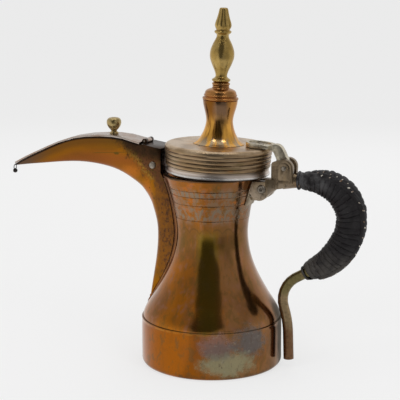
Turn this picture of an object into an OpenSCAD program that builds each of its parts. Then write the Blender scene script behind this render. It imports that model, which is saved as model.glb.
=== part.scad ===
// Long-beaked copper coffee pot with a hinged lid, a flap over the beak and a cast brass handle.
// Millimetres. Z is up, the beak points to -X, the handle to +X, and the pot stands on z = 0.

/* [Pot body] */
// Outer radius of the base pan
pan_r = 59.5; // [54:0.5:66]
// Height of the base pan's wall
pan_h = 40; // [34:1:46]
// Radius of the corner under the pan
pan_corner = 4; // [2:0.5:8]
// Thickness of the copper sheet
sheet = 1.2; // [0.8:0.1:1.6]
// How far the upper body is tucked into the pan
lap = 8; // [4:1:12]
// Radius of the body at the waist
waist_r = 30.4; // [27:0.2:33]
// Height of the waist
waist_z = 113; // [108:1:118]
// Outer radius of the body at the mouth
rim_r = 40.5; // [39:0.5:43]
// Height of the body's top edge
rim_z = 160; // [156:0.5:164]
// Thickness of the ring that the lid rests on
seat_t = 1.6; // [1:0.1:2.4]
// Width of the ring that the lid rests on
seat_w = 4; // [2.5:0.5:5]
// Depth of the lines cut round the body
line_depth = 0.4; // [0.2:0.1:0.6]

/* [Beak] */
// Reach of the beak's nose from the pot's axis
nose_x = 184.5; // [176:0.5:190]
// How far the nose lies below the body's top edge
nose_drop = 1.4; // [0:0.2:4]
// Rise of the beak's edge over the body's top edge
arch_h = 29; // [25:0.5:32]
// Half the width of the beak at its heel
heel_w = 14; // [12:0.5:15]
// Thickness of the beak's sheet
beak_sheet = 1; // [0.7:0.1:1.4]
// Width of the flange soldered to the body
saddle_flange = 7; // [4:0.5:9]
// Width of the slot that the coffee pours through
pour_w = 13; // [8:1:16]
// Thickness of the flap over the beak
flap_t = 1.4; // [1:0.1:2]
// How far the flap stands over the beak's sides
flap_over = 0.7; // [0.3:0.1:1.2]
// Distance of the flap's pin from the pot's axis
flap_pin_x = 57.6; // [56:0.2:60]
// Radius of the flap's pin
flap_pin_r = 0.9; // [0.7:0.1:1.2]
// Radius of the flap's knuckle
flap_knuckle_r = 2.2; // [2:0.1:2.4]
// Radius of the knob on the flap
knob_r = 5.7; // [4.5:0.1:6.5]
// Distance of the knob from the pot's axis
knob_x = 88.7; // [80:0.5:96]

/* [Lid] */
// Distance of the lid's axis from the pot's axis
lid_shift = 5; // [3:0.5:6]
// Lean of the lid towards the handle
lid_lean = 2.1; // [0:0.1:2.5]
// Radius of the tinned lip
lip_r = 43.4; // [42:0.2:45]
// Height of the tinned lip
lip_h = 5.6; // [4:0.2:7]
// Largest radius of the lid, at its top bead
bead_r = 44.8; // [44:0.2:46]
// Height of the top bead over the lip
bead_h = 20; // [18:0.5:22]
// Number of ribs round the lid
rib_count = 4; // [3:1:5]
// Outer radius of the collar inside the mouth
collar_r = 31.5; // [29:0.5:32.5]
// Depth of the collar inside the mouth
collar_h = 10; // [6:0.5:12]
// Thickness of the lid's sheet
lid_sheet = 1; // [0.8:0.1:1.3]
// Smallest radius of the hollow column
column_r = 11.1; // [9.5:0.1:12.5]
// Height of the column's bead over the lip
column_h = 61; // [58:0.5:64]
// Height of the finial
finial_h = 60; // [56:0.5:64]
// Largest radius of the finial
finial_r = 10.1; // [9:0.1:11]

/* [Lid hinge] */
// Distance of the hinge pin from the pot's axis
pin_x = 64.5; // [63.5:0.1:66]
// Height of the hinge pin over the lid's seat
pin_h = 8.7; // [8:0.1:9.5]
// Radius of the hinge pin
pin_r = 2; // [1.6:0.1:2.4]
// Radius of the arm's knuckle
knuckle_r = 5.5; // [5:0.1:6]
// Width of the arm's knuckle
knuckle_w = 6.8; // [6:0.2:8]
// Thickness of each cheek of the clevis
cheek_t = 5; // [4:0.2:6]
// Half the width of the arm's tongue
tongue_w = 10.5; // [9:0.5:12]

/* [Handle] */
// Radius of the cast rod
rod_r = 4.3; // [3.8:0.1:4.6]
// Radius of the handle's upper bend
bow_r = 29.5; // [28:0.5:31]
// Radius of the bend along the back of the grip
back_r = 50; // [47:1:53]
// Length of the straight part below the grip
run_out = 24; // [21:1:27]
// Radius of the bend into the tail
tail_r = 22.5; // [20:0.5:25]
// Height of the tail's end
tail_z = 8; // [5:0.5:14]
// Radius of the grip at its middle
grip_r = 12.5; // [10.5:0.1:13.5]
// Thickness of the lug that the handle is riveted to
lug_t = 6; // [5:0.2:7]
// Half the width of the handle's fork
fork_w = 11.5; // [10.5:0.5:12]
// Radius of the rivet through fork and lug
cross_r = 1.8; // [1.4:0.1:2.2]

/* [Fits] */
// Gap in a soldered joint
solder = 0.1; // [0.05:0.01:0.15]
// Radial clearance of a pin in its bore
run = 0.07; // [0.04:0.01:0.1]
// Clearance between pieces that move past each other
air = 0.35; // [0.3:0.05:0.5]

/* [Hidden] */
$fn = 72;
copper = [0.72, 0.42, 0.2];
brass = [0.78, 0.62, 0.3];
tin = [0.75, 0.73, 0.68];
leather = [0.12, 0.1, 0.1];

// ---- curves ----
// Point at t on the cubic curve from a to d with the handles b and c
function bez(a, b, c, d, t) = pow(1 - t, 3) * a + 3 * t * pow(1 - t, 2) * b
    + 3 * t * t * (1 - t) * c + pow(t, 3) * d;
// The curve as n steps, without its first point
function arc_of(a, b, c, d, n) = [for (i = [1:n]) bez(a, b, c, d, i / n)];
// A smooth curve through the keys k, with n steps between them
function key(k, i) = k[max(0, min(len(k) - 1, i))];
function smooth_at(k, i, t) = let (a = key(k, i - 1), b = key(k, i), c = key(k, i + 1), d = key(k, i + 2))
    b + t / 2 * (c - a) + t * t * (a - 2.5 * b + 2 * c - 0.5 * d) + t * t * t * (1.5 * (b - c) + (d - a) / 2);
function smooth(k, n) = [for (i = [0:len(k) - 2]) for (j = [0:n - 1]) smooth_at(k, i, j / n), k[len(k) - 1]];
function back(p) = [for (i = [len(p) - 1:-1:0]) p[i]];
// Closed outline of a wall of thickness t inside the curve p of [radius, height]
function wall(p, t) = concat(p, [for (q = back(p)) [q[0] - t, q[1]]]);
function unit2(v) = v / norm(v);

// ---- heights that follow the body's top edge ----
seat_z = rim_z + seat_t;
nose_z = rim_z - nose_drop;
arch_z = rim_z + arch_h;
pin_z = seat_z + pin_h;
// Height at the share f of the way from the pan's edge to the body's top edge
function at_height(f) = pan_h + f * (rim_z - pan_h);

// ---- body of the pot ----
shoulder_h = 6.5;
flank = [pan_r - 12.3, pan_h + 21.5];
flank_dir = unit2([-0.486, 0.874]);
rim_dir = unit2([0.45, 0.89]);
body_foot = [pan_r - sheet - solder, pan_h];
waist = [waist_r, waist_z];
rim = [rim_r, rim_z];
body_curve = concat([body_foot],
    arc_of(body_foot, body_foot + [0, shoulder_h], flank - 8 * flank_dir, flank, 7),
    arc_of(flank, flank + 15 * flank_dir, waist - [0, 22], waist, 9),
    arc_of(waist, waist + [0, 9], rim - 12 * rim_dir, rim, 9));
body_table = [for (p = body_curve) [p[1], p[0]]];
// Outer radius of the upper body at the height z
function body_r(z) = lookup(z, body_table);
// Body of revolution with the radius of the upper body plus t, between the heights a and b
module body_round(t, a, b) {
    rotate_extrude()
        polygon(concat([[0, a]], [[body_r(a) + t, a]],
            [for (p = body_curve) if (p[1] > a + 0.1 && p[1] < b - 0.1) [p[0] + t, p[1]]],
            [[body_r(b) + t, b], [0, b]]));
}

module base_pan() {
    steps = 6;
    outer = concat([[0, 0], [pan_r - pan_corner, 0]],
        [for (i = [1:steps]) let (a = 90 * i / steps)
            [pan_r - pan_corner + pan_corner * sin(a), pan_corner - pan_corner * cos(a)]],
        [[pan_r, pan_h - 0.4], [pan_r - 0.4, pan_h]]);
    inner_r = pan_r - sheet;
    inner_corner = max(pan_corner - sheet, 0.6);
    inner = concat([[inner_r, pan_h]],
        [for (i = [steps:-1:0]) let (a = 90 * i / steps)
            [inner_r - inner_corner + inner_corner * sin(a), sheet + inner_corner * (1 - cos(a))]],
        [[0, sheet]]);
    color(copper) rotate_extrude($fn = 96) polygon(concat(outer, inner));
}

// Heights of the lines cut round the neck and over the seam
line_z = [rim_z - 8.5, rim_z - 13.5, rim_z - 20.5, rim_z - 33.5, pan_h + 4];
pour_top = rim_z - 12;
pour_bottom = pan_h + 36;

module upper_body() {
    skirt = [[body_foot[0], pan_h - lap]];
    color(copper) difference() {
        rotate_extrude($fn = 96) polygon(wall(concat(skirt, body_curve), sheet));
        for (z = line_z)
            rotate_extrude($fn = 96)
                polygon([[body_r(z) - line_depth, z], [body_r(z) + 1, z - 1.2], [body_r(z) + 1, z + 1.2]]);
        for (z = [pour_bottom, pour_top])
            translate([-rim_r - 4, 0, z]) rotate([0, 90, 0]) cylinder(h = rim_r, d = pour_w, $fn = 48);
        translate([-rim_r - 4, -pour_w / 2, pour_bottom]) cube([rim_r, pour_w, pour_top - pour_bottom]);
        for (side = [-1, 1]) lug_rivet_shape(side, run, false);
    }
}

seat_r = rim_r + 0.6;
module mouth_ring() {
    round_r = seat_t / 2;
    color(tin) translate([0, 0, rim_z]) rotate_extrude($fn = 96) union() {
        translate([seat_r - seat_w, 0]) square([seat_w - round_r, seat_t]);
        translate([seat_r - round_r, round_r]) circle(r = round_r, $fn = 24);
    }
}

// ---- beak ----
// Keel of the beak from the nose to its foot on the body, as [x, z]
keel_steps = 3;
// Free part of the keel: [share of the nose's reach, height over the body's top edge]
keel_free = [[1, -nose_drop - 0.4], [0.878, 1.2], [0.656, 5.2], [0.4785, 1.3], [0.3577, -9.8], [0.309, -19],
    [0.2791, -29]];
// Foot of the keel: [share of the body's height, distance from the body]
keel_foot = [[0.6333, 17.1], [0.5333, 16.5], [0.4083, 14.7], [0.2833, 11.1], [0.1583, 5.7], [0.075, 1.1]];
keel = smooth(concat([for (k = keel_free) [-k[0] * nose_x, rim_z + k[1]]],
    [for (k = keel_foot) [-body_r(at_height(k[0])) - k[1], at_height(k[0])]]), keel_steps);
// Upper edge of the beak from the nose to the heel, as [x, z, half the width]
rear_x = rim_r + 0.9;
edge_keys = [[-nose_x + 0.3, nose_z + 1, 0.9], [-0.889 * nose_x, arch_z - 19.4, 3.6],
    [-0.6775 * nose_x, arch_z - 3.6, 7.4], [-0.4661 * nose_x, arch_z, 10.2],
    [-0.3306 * nose_x, arch_z - 4.4, 0.89 * heel_w], [-rear_x, arch_z - 8, heel_w]];
top_edge = smooth(edge_keys, keel_steps);
// The upright rear edge of the beak's sides, down to the lid's seat
rear_top = edge_keys[len(edge_keys) - 1];
rear_low = [-rear_x, seat_z + 1.4, heel_w];
edge = concat(top_edge, [for (i = [1:keel_steps]) rear_top + (rear_low - rear_top) * i / keel_steps]);
// Where the beak's sides stand on the body, from the rim down, as [height, half the width].
// Its keys below the rim are [share of the body's height, share of the heel's width].
foot = smooth(concat([[rim_z - 1, heel_w + 0.6]], [for (k = [[0.8667, 1], [0.675, 0.9], [0.4875, 0.786],
    [0.325, 0.586], [0.175, 0.329], [0.0867, 0.114]]) [at_height(k[0]), k[1] * heel_w]]), keel_steps);
saddle_t = 1;
foot_off = 2 * solder + saddle_t + 0.45;
function on_body(z, w, off) = [-sqrt(pow(body_r(z) + off, 2) - w * w), z, w];
// The edge that each station of the keel is joined to
station_edge = concat(edge, [for (f = foot) on_body(f[0], f[1], foot_off)]);
stations = min(len(keel), len(station_edge));
side_count = 7;
section_power = 2 / 2.6;
// Point of the beak's section i at step j of its side, with the sheet's thickness t taken off
function beak_point(i, j, t) = let (a = 90 * j / side_count, e = station_edge[i], k = keel[i],
    up = unit2([e[0] - k[0], e[1] - k[1]]), thin = t * min(1, e[2] / 3),
    k2 = k + thin * up, h = 1 - pow(abs(cos(a)), section_power),
    y = (e[2] - thin) * sign(a) * pow(abs(sin(a)), section_power))
    [k2[0] + (e[0] - k2[0]) * h, y, k2[1] + (e[1] - k2[1]) * h];

module beak_solid(t) {
    row = 2 * side_count + 1;
    outer = [for (i = [0:stations - 1]) for (j = [-side_count:side_count]) beak_point(i, j, 0)];
    inner = [for (i = [0:stations - 1]) for (j = [-side_count:side_count]) beak_point(i, j, t)];
    n = len(outer);
    skin = [for (i = [0:stations - 2]) for (j = [0:row - 2])
        let (a = i * row + j) each [[a, a + row + 1, a + 1], [a, a + row, a + row + 1]]];
    lining = [for (f = skin) [n + f[2], n + f[1], n + f[0]]];
    rims = [for (i = [0:stations - 2]) let (a = i * row, b = a + row - 1)
        each [[a, n + a + row, a + row], [a, n + a, n + a + row],
            [b + row, n + b, b], [b + row, n + b + row, n + b]]];
    last = (stations - 1) * row;
    ends = [for (j = [0:row - 2])
        each [[j + 1, n + j, j], [j + 1, n + j + 1, n + j],
            [last + j, n + last + j + 1, last + j + 1], [last + j, n + last + j, n + last + j + 1]]];
    polyhedron(points = concat(outer, inner), faces = concat(skin, lining, rims, ends), convexity = 8);
}

hook = [-nose_x - 0.4, nose_z + 0.2];
hook_r = 1.3;
hook_t = 1.6;
ring_r = 2.2;
ring_wire = 0.35;
rivet_r = 1.3;
rivet_head_r = 3.1;
heel_rivet = [-rear_x - 6, rim_z + 8];

module along_y(x, z, length, r) {
    translate([x, 0, z]) rotate([90, 0, 0]) cylinder(h = length, r = r, center = true, $fn = 32);
}

module spout_shell() {
    color(copper) difference() {
        union() {
            beak_solid(beak_sheet);
            along_y(hook[0], hook[1], hook_t, hook_r);
        }
        along_y(hook[0], hook[1], 2 * hook_t, 0.6);
        along_y(heel_rivet[0], heel_rivet[1], 3 * heel_w, rivet_r + run);
    }
}

// Outline of the beak's foot on the body, seen along X, widened by g
function foot_outline(g) = concat([for (f = foot) [f[1] + g, f[0]]],
    [[0, foot[len(foot) - 1][0] - g]], [for (f = back(foot)) [-f[1] - g, f[0]]]);
module foot_prism(g) {
    rotate([90, 0, -90]) linear_extrude(height = 2 * pan_r) polygon(foot_outline(g));
}
module spout_saddle() {
    low = foot[len(foot) - 1][0] - saddle_flange;
    color(copper) difference() {
        intersection() {
            difference() {
                body_round(solder + saddle_t, low, rim_z - 1);
                body_round(solder, low - 1, rim_z);
            }
            foot_prism(saddle_flange);
        }
        foot_prism(-min(beak_sheet + 0.6, foot[len(foot) - 1][1] - 0.4));
    }
}

// Side view of the beak's top edge raised by g, as [x, z], from the nose to the heel
function edge_line(g) = [for (e = top_edge) [e[0], e[1] + g]];
// Half the width of the beak along its edge, widened by g
function edge_plan(g) = concat([for (e = top_edge) [e[0], e[2] + g]],
    [for (e = back(top_edge)) [e[0], -e[2] - g]]);
function edge_z(x) = lookup(x, [for (e = top_edge) [e[0], e[1]]]);
function edge_w(x) = lookup(x, [for (e = top_edge) [e[0], e[2]]]);
module side_prism(outline, w) {
    translate([0, w, 0]) rotate([90, 0, 0]) linear_extrude(height = 2 * w) polygon(outline);
}
flap_pin_z = edge_z(-flap_pin_x) + flap_knuckle_r + 0.4;
flap_half = 4;

heel_front = -flap_pin_x;
heel_back = -rear_x + 0.2;
cheek_low = heel_rivet[1] - rivet_head_r - 2;
cheek_corner = 9;
// Half the width of the heel's cheeks at x, standing g off the beak
function cheek_w(x, g) = edge_w(heel_front) + g
    + (heel_w - edge_w(heel_front)) * (x - heel_front) / (-rear_x - heel_front);
// Side view of the cap with its top raised by g, from x = f to x = b, its front corner rounded by c
function cap_side(g, f, b, low, c) = concat([[f + c, low]],
    arc_of([f + c, low], [f + 0.4 * c, low], [f, low + 0.5 * c], [f, low + 1.5 * c + 0.1], 7),
    [[f, edge_z(f) + g]],
    [for (e = top_edge) if (e[0] > f + 0.1) [e[0] > -rear_x - 0.1 ? b : e[0], e[1] + g]], [[b, low]]);
module cap_block(g, f, b, low, w, c) {
    intersection() {
        side_prism(cap_side(g, f, b, low, c), 2 * heel_w);
        linear_extrude(height = 2 * rim_z)
            polygon([[f, cheek_w(f, w)], [b, cheek_w(b, w)], [b, -cheek_w(b, w)], [f, -cheek_w(f, w)]]);
    }
}
module heel_cap() {
    color(copper) difference() {
        union() {
            cap_block(sheet, heel_front, heel_back + sheet, cheek_low, air + sheet, cheek_corner);
            along_y(heel_front, flap_pin_z, 4 * flap_half, flap_knuckle_r);
        }
        cap_block(solder, heel_front - 1, heel_back, cheek_low - 1, air, 0);
        translate([heel_front - 5, -flap_half - air, flap_pin_z - 5])
            cube([5 + flap_knuckle_r + air, 2 * (flap_half + air), 10]);
        along_y(heel_front, flap_pin_z, 60, flap_pin_r);
        along_y(heel_rivet[0], heel_rivet[1], 60, rivet_r + run);
        translate([-rear_x - 4, -40, 0]) cube([10, 80, seat_z + 1]);
    }
}
module flap_pin() {
    color(brass) along_y(-flap_pin_x, flap_pin_z, 4 * flap_half + 1, flap_pin_r);
}
module heel_rivets() {
    skin = cheek_w(heel_rivet[0] + rivet_head_r, air + sheet + 0.03);
    color(tin) for (side = [-1, 1]) {
        translate([heel_rivet[0], side * skin, heel_rivet[1]]) rotate([-90 * side, 0, 0]) {
            cylinder(h = 1.1, r1 = rivet_head_r, r2 = rivet_head_r - 0.9, $fn = 32);
            translate([0, 0, -5.2]) cylinder(h = 5.4, r = rivet_r, $fn = 32);
            translate([0, 0, -6]) cylinder(h = 1, r = rivet_r + 0.9, $fn = 32);
        }
    }
}

module spout_flap() {
    rear = -flap_pin_x;
    bottom = [for (p = edge_line(air)) if (p[0] < rear - 1) p];
    top = [for (p = edge_line(air + flap_t)) if (p[0] < rear - 1) p];
    last_bottom = [rear, flap_pin_z - flap_knuckle_r + 0.3];
    last_top = [rear, flap_pin_z];
    color(tin) difference() {
        union() {
            intersection() {
                side_prism(concat(bottom, [last_bottom, last_top], back(top)), 2 * heel_w);
                linear_extrude(height = 2 * rim_z) polygon(edge_plan(flap_over));
            }
            along_y(-flap_pin_x, flap_pin_z, 2 * flap_half, flap_knuckle_r);
        }
        along_y(-flap_pin_x, flap_pin_z, 60, flap_pin_r + run);
        for (side = [-1, 1])
            translate([rear - flap_knuckle_r - air, side * (flap_half + 20) - 20, flap_pin_z - 10])
                cube([20, 40, 20]);
        translate([-knob_x, 0, 0]) cylinder(h = 2 * rim_z, r = knob_tang_r + 0.05, $fn = 32);
    }
}
knob_tang_r = 1.2;
module flap_knob() {
    base = edge_z(-knob_x) + air + flap_t + 0.05;
    neck = 2.4;
    color(brass) translate([-knob_x, 0, base]) {
        rotate_extrude($fn = 48) polygon(concat([[0, 0], [3.6, 0], [3.9, 0.8], [3.4, 1.6], [neck, 2.4]],
            [for (a = [-62:12.4:62]) [knob_r * cos(a), knob_r + 2.6 + knob_r * sin(a)]],
            [[1.6, 2 * knob_r + 2.5], [0, 2 * knob_r + 2.2]]));
        translate([0, 0, -flap_t - 1]) cylinder(h = flap_t + 1.2, r = knob_tang_r, $fn = 32);
        translate([0, 0, -flap_t - 1.1]) cylinder(h = 0.9, r1 = 1.6, r2 = 2.3, $fn = 32);
    }
}

module nose_torus(extra) {
    translate([hook[0], 0, hook[1] - ring_r]) rotate([0, 90, 0])
        rotate_extrude($fn = 48) translate([ring_r, 0]) circle(r = ring_wire + extra, $fn = 16);
}
module nose_ring() {
    color(brass) nose_torus(0);
}
module pendant_bead() {
    bead = 2;
    color(leather) difference() {
        translate([hook[0], 0, hook[1] - 2 * ring_r - 1]) sphere(r = bead, $fn = 32);
        nose_torus(0.05);
    }
}

// ---- handle ----
lug_x = rim_r + 12.5;
lug_low = rim_z - 22;
lug_foot_t = 1.4;
cross = [rim_r + 6.1, rim_z - 7.4];
module neck_lug() {
    color(brass) difference() {
        union() {
            intersection() {
                body_round(solder + lug_foot_t, lug_low, rim_z - 1.5);
                translate([0, -fork_w + 1, lug_low]) cube([pan_r, 2 * fork_w - 2, rim_z - 1.5 - lug_low]);
            }
            side_prism([[rim_r - 6.5, lug_low + 3], [rim_r + 3.5, lug_low + 4], [lug_x - 1, lug_low + 10.5],
                [lug_x - 1, rim_z - 2], [rim_r - 6.5, rim_z - 2]], lug_t / 2);
        }
        body_round(solder, waist_z, rim_z + 1);
        along_y(cross[0], cross[1], 60, cross_r + run);
        for (side = [-1, 1]) lug_rivet_shape(side, run, false);
    }
}
lug_rivet_z = rim_z - 14;
lug_rivet_turn = 11.5;
module lug_rivet_shape(side, extra, heads) {
    rotate([0, 0, side * lug_rivet_turn]) translate([body_r(lug_rivet_z), 0, lug_rivet_z])
        rotate([0, 90, 0]) {
            translate([0, 0, -sheet - 1.5]) cylinder(h = 5.1, r = 1 + extra, $fn = 24);
            if (heads) translate([0, 0, -sheet - 2.2]) cylinder(h = 1.1, r1 = 1.4, r2 = 2.1, $fn = 24);
        }
}
module lug_rivets() {
    color(brass) for (side = [-1, 1]) lug_rivet_shape(side, 0, true);
}
fork_slot = lug_t / 2 + 0.15;
clevis_slot = knuckle_w / 2 + 0.2;
clevis_w = clevis_slot + cheek_t;
clevis_r = 8.4;
clevis_x = pin_x - 10.6;
// Rod from the clevis down to the tail: each step is [turn radius, degrees], or [0, length]
rod_bends = [[0, bow_r - 1.5], [-bow_r, 99], [-back_r, 51], [0, run_out], [tail_r, 78], [-3.55 * tail_r, 16]];
rod_start = [pin_x - 2.5, rim_z, 0];
function step_len(g) = g[0] == 0 ? g[1] : abs(g[0]) * g[1] * PI / 180;
function step_at(p, g, f) = g[0] == 0
    ? [p[0] + f * g[1] * cos(p[2]), p[1] + f * g[1] * sin(p[2]), p[2]]
    : let (h = p[2] + sign(g[0]) * f * g[1])
        [p[0] + g[0] * (sin(h) - sin(p[2])), p[1] + g[0] * (cos(p[2]) - cos(h)), h];
function step_start(i) = i == 0 ? rod_start : step_at(step_start(i - 1), rod_bends[i - 1], 1);
// The last straight part ends at the height of the tail's end
tail_start = step_start(len(rod_bends));
rod_steps = concat(rod_bends, [[0, (tail_z - tail_start[1]) / sin(tail_start[2])]]);
step_starts = [for (i = [0:len(rod_steps) - 1]) step_start(i)];
// Place on the rod at the length s: [x, z, heading]
function rod_at(s, i = 0) = (i == len(rod_steps) - 1 || s <= step_len(rod_steps[i]))
    ? step_at(step_starts[i], rod_steps[i], s / step_len(rod_steps[i]))
    : rod_at(s - step_len(rod_steps[i]), i + 1);

rod_rings = 44;
rod_sides = 16;
rod_from = 6;
function total(v, i = 0) = i == len(v) ? 0 : v[i] + total(v, i + 1);
rod_length = total([for (g = rod_steps) step_len(g)]);
// Closed tube round the rod's line: rings of points, with their places given by the caller
function tube_skin(rings, m, o) = [for (i = [0:rings - 1]) for (j = [0:m - 1])
    let (a = o + i * m + j, b = o + i * m + (j + 1) % m) each [[a, b, b + m], [a, b + m, a + m]]];
function ring_point(p, r, a) = [p[0] - r * cos(a) * sin(p[2]), r * sin(a), p[1] + r * cos(a) * cos(p[2])];
module rod() {
    m = rod_sides;
    points = [for (i = [0:rod_rings]) for (j = [0:m - 1])
        ring_point(rod_at(rod_from + (rod_length - rod_from) * i / rod_rings), rod_r, 360 * j / m)];
    polyhedron(points = points, convexity = 6, faces = concat(tube_skin(rod_rings, m, 0),
        [[for (j = [m - 1:-1:0]) j]], [[for (j = [0:m - 1]) rod_rings * m + j]]));
}

stop_ball = [pin_x + 7.6, pin_z - 3.8];
ear_x = rim_r - 10.5;
ear_r = 7.4;
arch_line_r = 5.3;
groove_w = 0.8;
groove_t = 0.5;
// Plate with a round top over the hinge pin and straight sides down to the rod
module arch_plate(r, t) {
    along_y(pin_x, pin_z, 2 * t, r);
    translate([pin_x - r, -t, rim_z + arch_line_r - r]) cube([2 * r, 2 * t, pin_z - rim_z - arch_line_r + r]);
}
module handle_casting() {
    color(brass) difference() {
        union() {
            // ear of the fork, with a round lower lobe
            intersection() {
                side_prism(concat([[ear_x, rim_z], [ear_x, rim_z - 9]], [for (a = [200:15:335])
                    [cross[0] - 2.1 + ear_r * cos(a), cross[1] - 2.2 + ear_r * sin(a)]],
                    [[pin_x - 10.5, rim_z - 10], [pin_x - 6.5, rim_z - 7.2], [pin_x + 1.5, rim_z - 5.8],
                    [pin_x + 1.5, rim_z + 1], [pin_x - 12.5, rim_z + 1]]), fork_w);
                linear_extrude(height = 2 * rim_z) polygon([[ear_x, fork_w], [rim_r + 9.5, fork_w],
                    [clevis_x + 6, clevis_w], [pin_x + 5.5, clevis_w - 1.5], [pin_x + 5.5, 1.5 - clevis_w],
                    [clevis_x + 6, -clevis_w], [rim_r + 9.5, -fork_w], [ear_x, -fork_w]]);
            }
            // clevis round the hinge pin
            side_prism(concat([[clevis_x, rim_z - 2], [clevis_x, pin_z + 3], [clevis_x + 0.7, pin_z + 4.6],
                [clevis_x + 2.2, pin_z + 5.2]], [for (a = [98:-14:0])
                [pin_x + (clevis_r - 1) * cos(a), pin_z + (clevis_r - 1) * sin(a)]],
                [[pin_x + clevis_r - 1.4, rim_z - 2]]), clevis_w);
            translate([stop_ball[0], 0, stop_ball[1]]) sphere(r = 2.7, $fn = 32);
            // stub that narrows to the grip
            translate([pin_x - 2, 0, rim_z]) rotate([0, 90, 0])
                cylinder(h = 13, r1 = 8, r2 = rod_r + 1.6, $fn = 48);
            rod();
        }
        body_round(2 * solder + lug_foot_t, waist_z, rim_z + 0.5);
        translate([0, -fork_slot, waist_z]) cube([lug_x, 2 * fork_slot, pin_z - waist_z]);
        translate([clevis_x - 1, -clevis_slot, pin_z - knuckle_r - air - 0.6])
            cube([clevis_r + 22, 2 * clevis_slot, 30]);
        along_y(pin_x, pin_z, 60, pin_r);
        along_y(cross[0], cross[1], 60, cross_r + run);
        // fluted front edges of the cheeks
        for (side = [-1, 1]) for (i = [0:2])
            translate([clevis_x + 1.6 + 1.7 * i, side * (clevis_w + 0.25), rim_z - 10])
                cylinder(h = pin_z - rim_z + 12, r = 0.65, $fn = 16);
        // line cut round each pin, with its sides drawn down the cheek
        for (side = [-1, 1]) translate([0, side * clevis_w, 0]) difference() {
            arch_plate(arch_line_r, groove_t);
            arch_plate(arch_line_r - groove_w, 2 * groove_t);
        }
        translate([0, 0, seat_z + 0.3]) cylinder(h = 30, r = clevis_x - 1.2);
        translate([0, 0, rim_z - 1.2]) cylinder(h = 30, r = seat_r + 10);
    }
}
module cross_rivet() {
    color(tin) difference() {
        union() {
            along_y(cross[0], cross[1], 2 * fork_w + 0.4, cross_r);
            for (side = [-1, 1])
                translate([cross[0], side * (fork_w + 0.1), cross[1]]) rotate([-90 * side, 0, 0])
                    cylinder(h = 1.1, r1 = 3.7, r2 = 2.9, $fn = 32);
        }
        for (side = [-1, 1])
            translate([cross[0], side * (fork_w + 1.2), cross[1]]) sphere(r = 1.3, $fn = 24);
    }
}
module lid_hinge_pin() {
    color(brass) along_y(pin_x, pin_z, 2 * clevis_w + 1.6, pin_r);
}

// ---- grip ----
grip_from = 14.5;
grip_to = total([for (i = [0:2]) step_len(rod_steps[i])]) + 14;
grip_keys = [[0, 6.4], [0.06, 8.3], [0.16, 10.9], [0.32, grip_r], [0.5, grip_r], [0.68, grip_r],
    [0.84, 11.2], [0.94, 9], [1, 6.6]];
grip_rings = 44;
grip_sides = 20;
grip_bore = (rod_r + air) / cos(180 / grip_sides);
function grip_radius(f) = lookup(f, smooth(grip_keys, 4));
module grip_wrap() {
    m = grip_sides;
    function f(i) = i / grip_rings;
    function place(i) = rod_at(grip_from + (grip_to - grip_from) * f(i));
    outer = [for (i = [0:grip_rings]) for (j = [0:m - 1])
        ring_point(place(i), grip_radius(f(i)), 360 * j / m)];
    inner = [for (i = [0:grip_rings]) for (j = [0:m - 1]) ring_point(place(i), grip_bore, 360 * j / m)];
    n = len(outer);
    skin = tube_skin(grip_rings, m, 0);
    lining = [for (g = skin) [n + g[2], n + g[1], n + g[0]]];
    last = grip_rings * m;
    ends = [for (j = [0:m - 1]) let (k = (j + 1) % m) each [[k, j, n + j], [k, n + j, n + k],
        [last + j, last + k, n + last + k], [last + j, n + last + k, n + last + j]]];
    color(leather) polyhedron(points = concat(outer, inner), faces = concat(skin, lining, ends),
        convexity = 6);
}
module rod_ring(s, r, wire) {
    p = rod_at(s);
    translate([p[0], 0, p[1]]) rotate([0, 90 - p[2], 0])
        rotate_extrude($fn = 48) translate([r, 0]) circle(r = wire, $fn = 20);
}
module end_bindings() {
    wire = 0.9;
    color(leather) {
        rod_ring(grip_from - wire - 0.15, rod_r + 1.6 + wire + 0.1, wire);
        rod_ring(grip_to + wire + 0.15, rod_r + wire + 0.15, wire);
    }
}
braid_turn = 20;
module spine_braid() {
    rings = 36;
    m = 8;
    from = 0.1;
    to = 0.9;
    function f(i) = from + (to - from) * i / rings;
    function place(i) = rod_at(grip_from + (grip_to - grip_from) * f(i));
    // The strip lies on the grip, turned from its spine by the braid's angle
    function strip_point(i, k) = let (q = 360 * k / m, r = grip_radius(f(i)) + 1.15 + 0.8 * sin(q),
        a = -braid_turn + 7.5 * cos(q)) ring_point(place(i), r, a);
    points = [for (i = [0:rings]) for (k = [0:m - 1]) strip_point(i, k)];
    color(leather) polyhedron(points = points, convexity = 4, faces = concat(
        [for (g = tube_skin(rings, m, 0)) [g[2], g[1], g[0]]],
        [[for (k = [0:m - 1]) k]], [[for (k = [m - 1:-1:0]) rings * m + k]]));
}

// ---- lid, in its own frame: its axis is Z and its lip stands on z = 0 ----
lid_lift = lip_r * sin(lid_lean) + 0.1;
module on_pot() {
    translate([lid_shift, 0, seat_z + lid_lift]) rotate([0, lid_lean, 0]) children();
}
// The hinge pin as [x, z] in the lid's frame
pin_in_lid = let (x = pin_x - lid_shift, z = pin_z - seat_z - lid_lift)
    [x * cos(lid_lean) - z * sin(lid_lean), x * sin(lid_lean) + z * cos(lid_lean)];
lid_wall_r = lip_r - 0.6;
face_h = bead_h + 3.6;
face_r = bead_r - 3.6;
hub_r = 12;
foot_r = 21.5;

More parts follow.
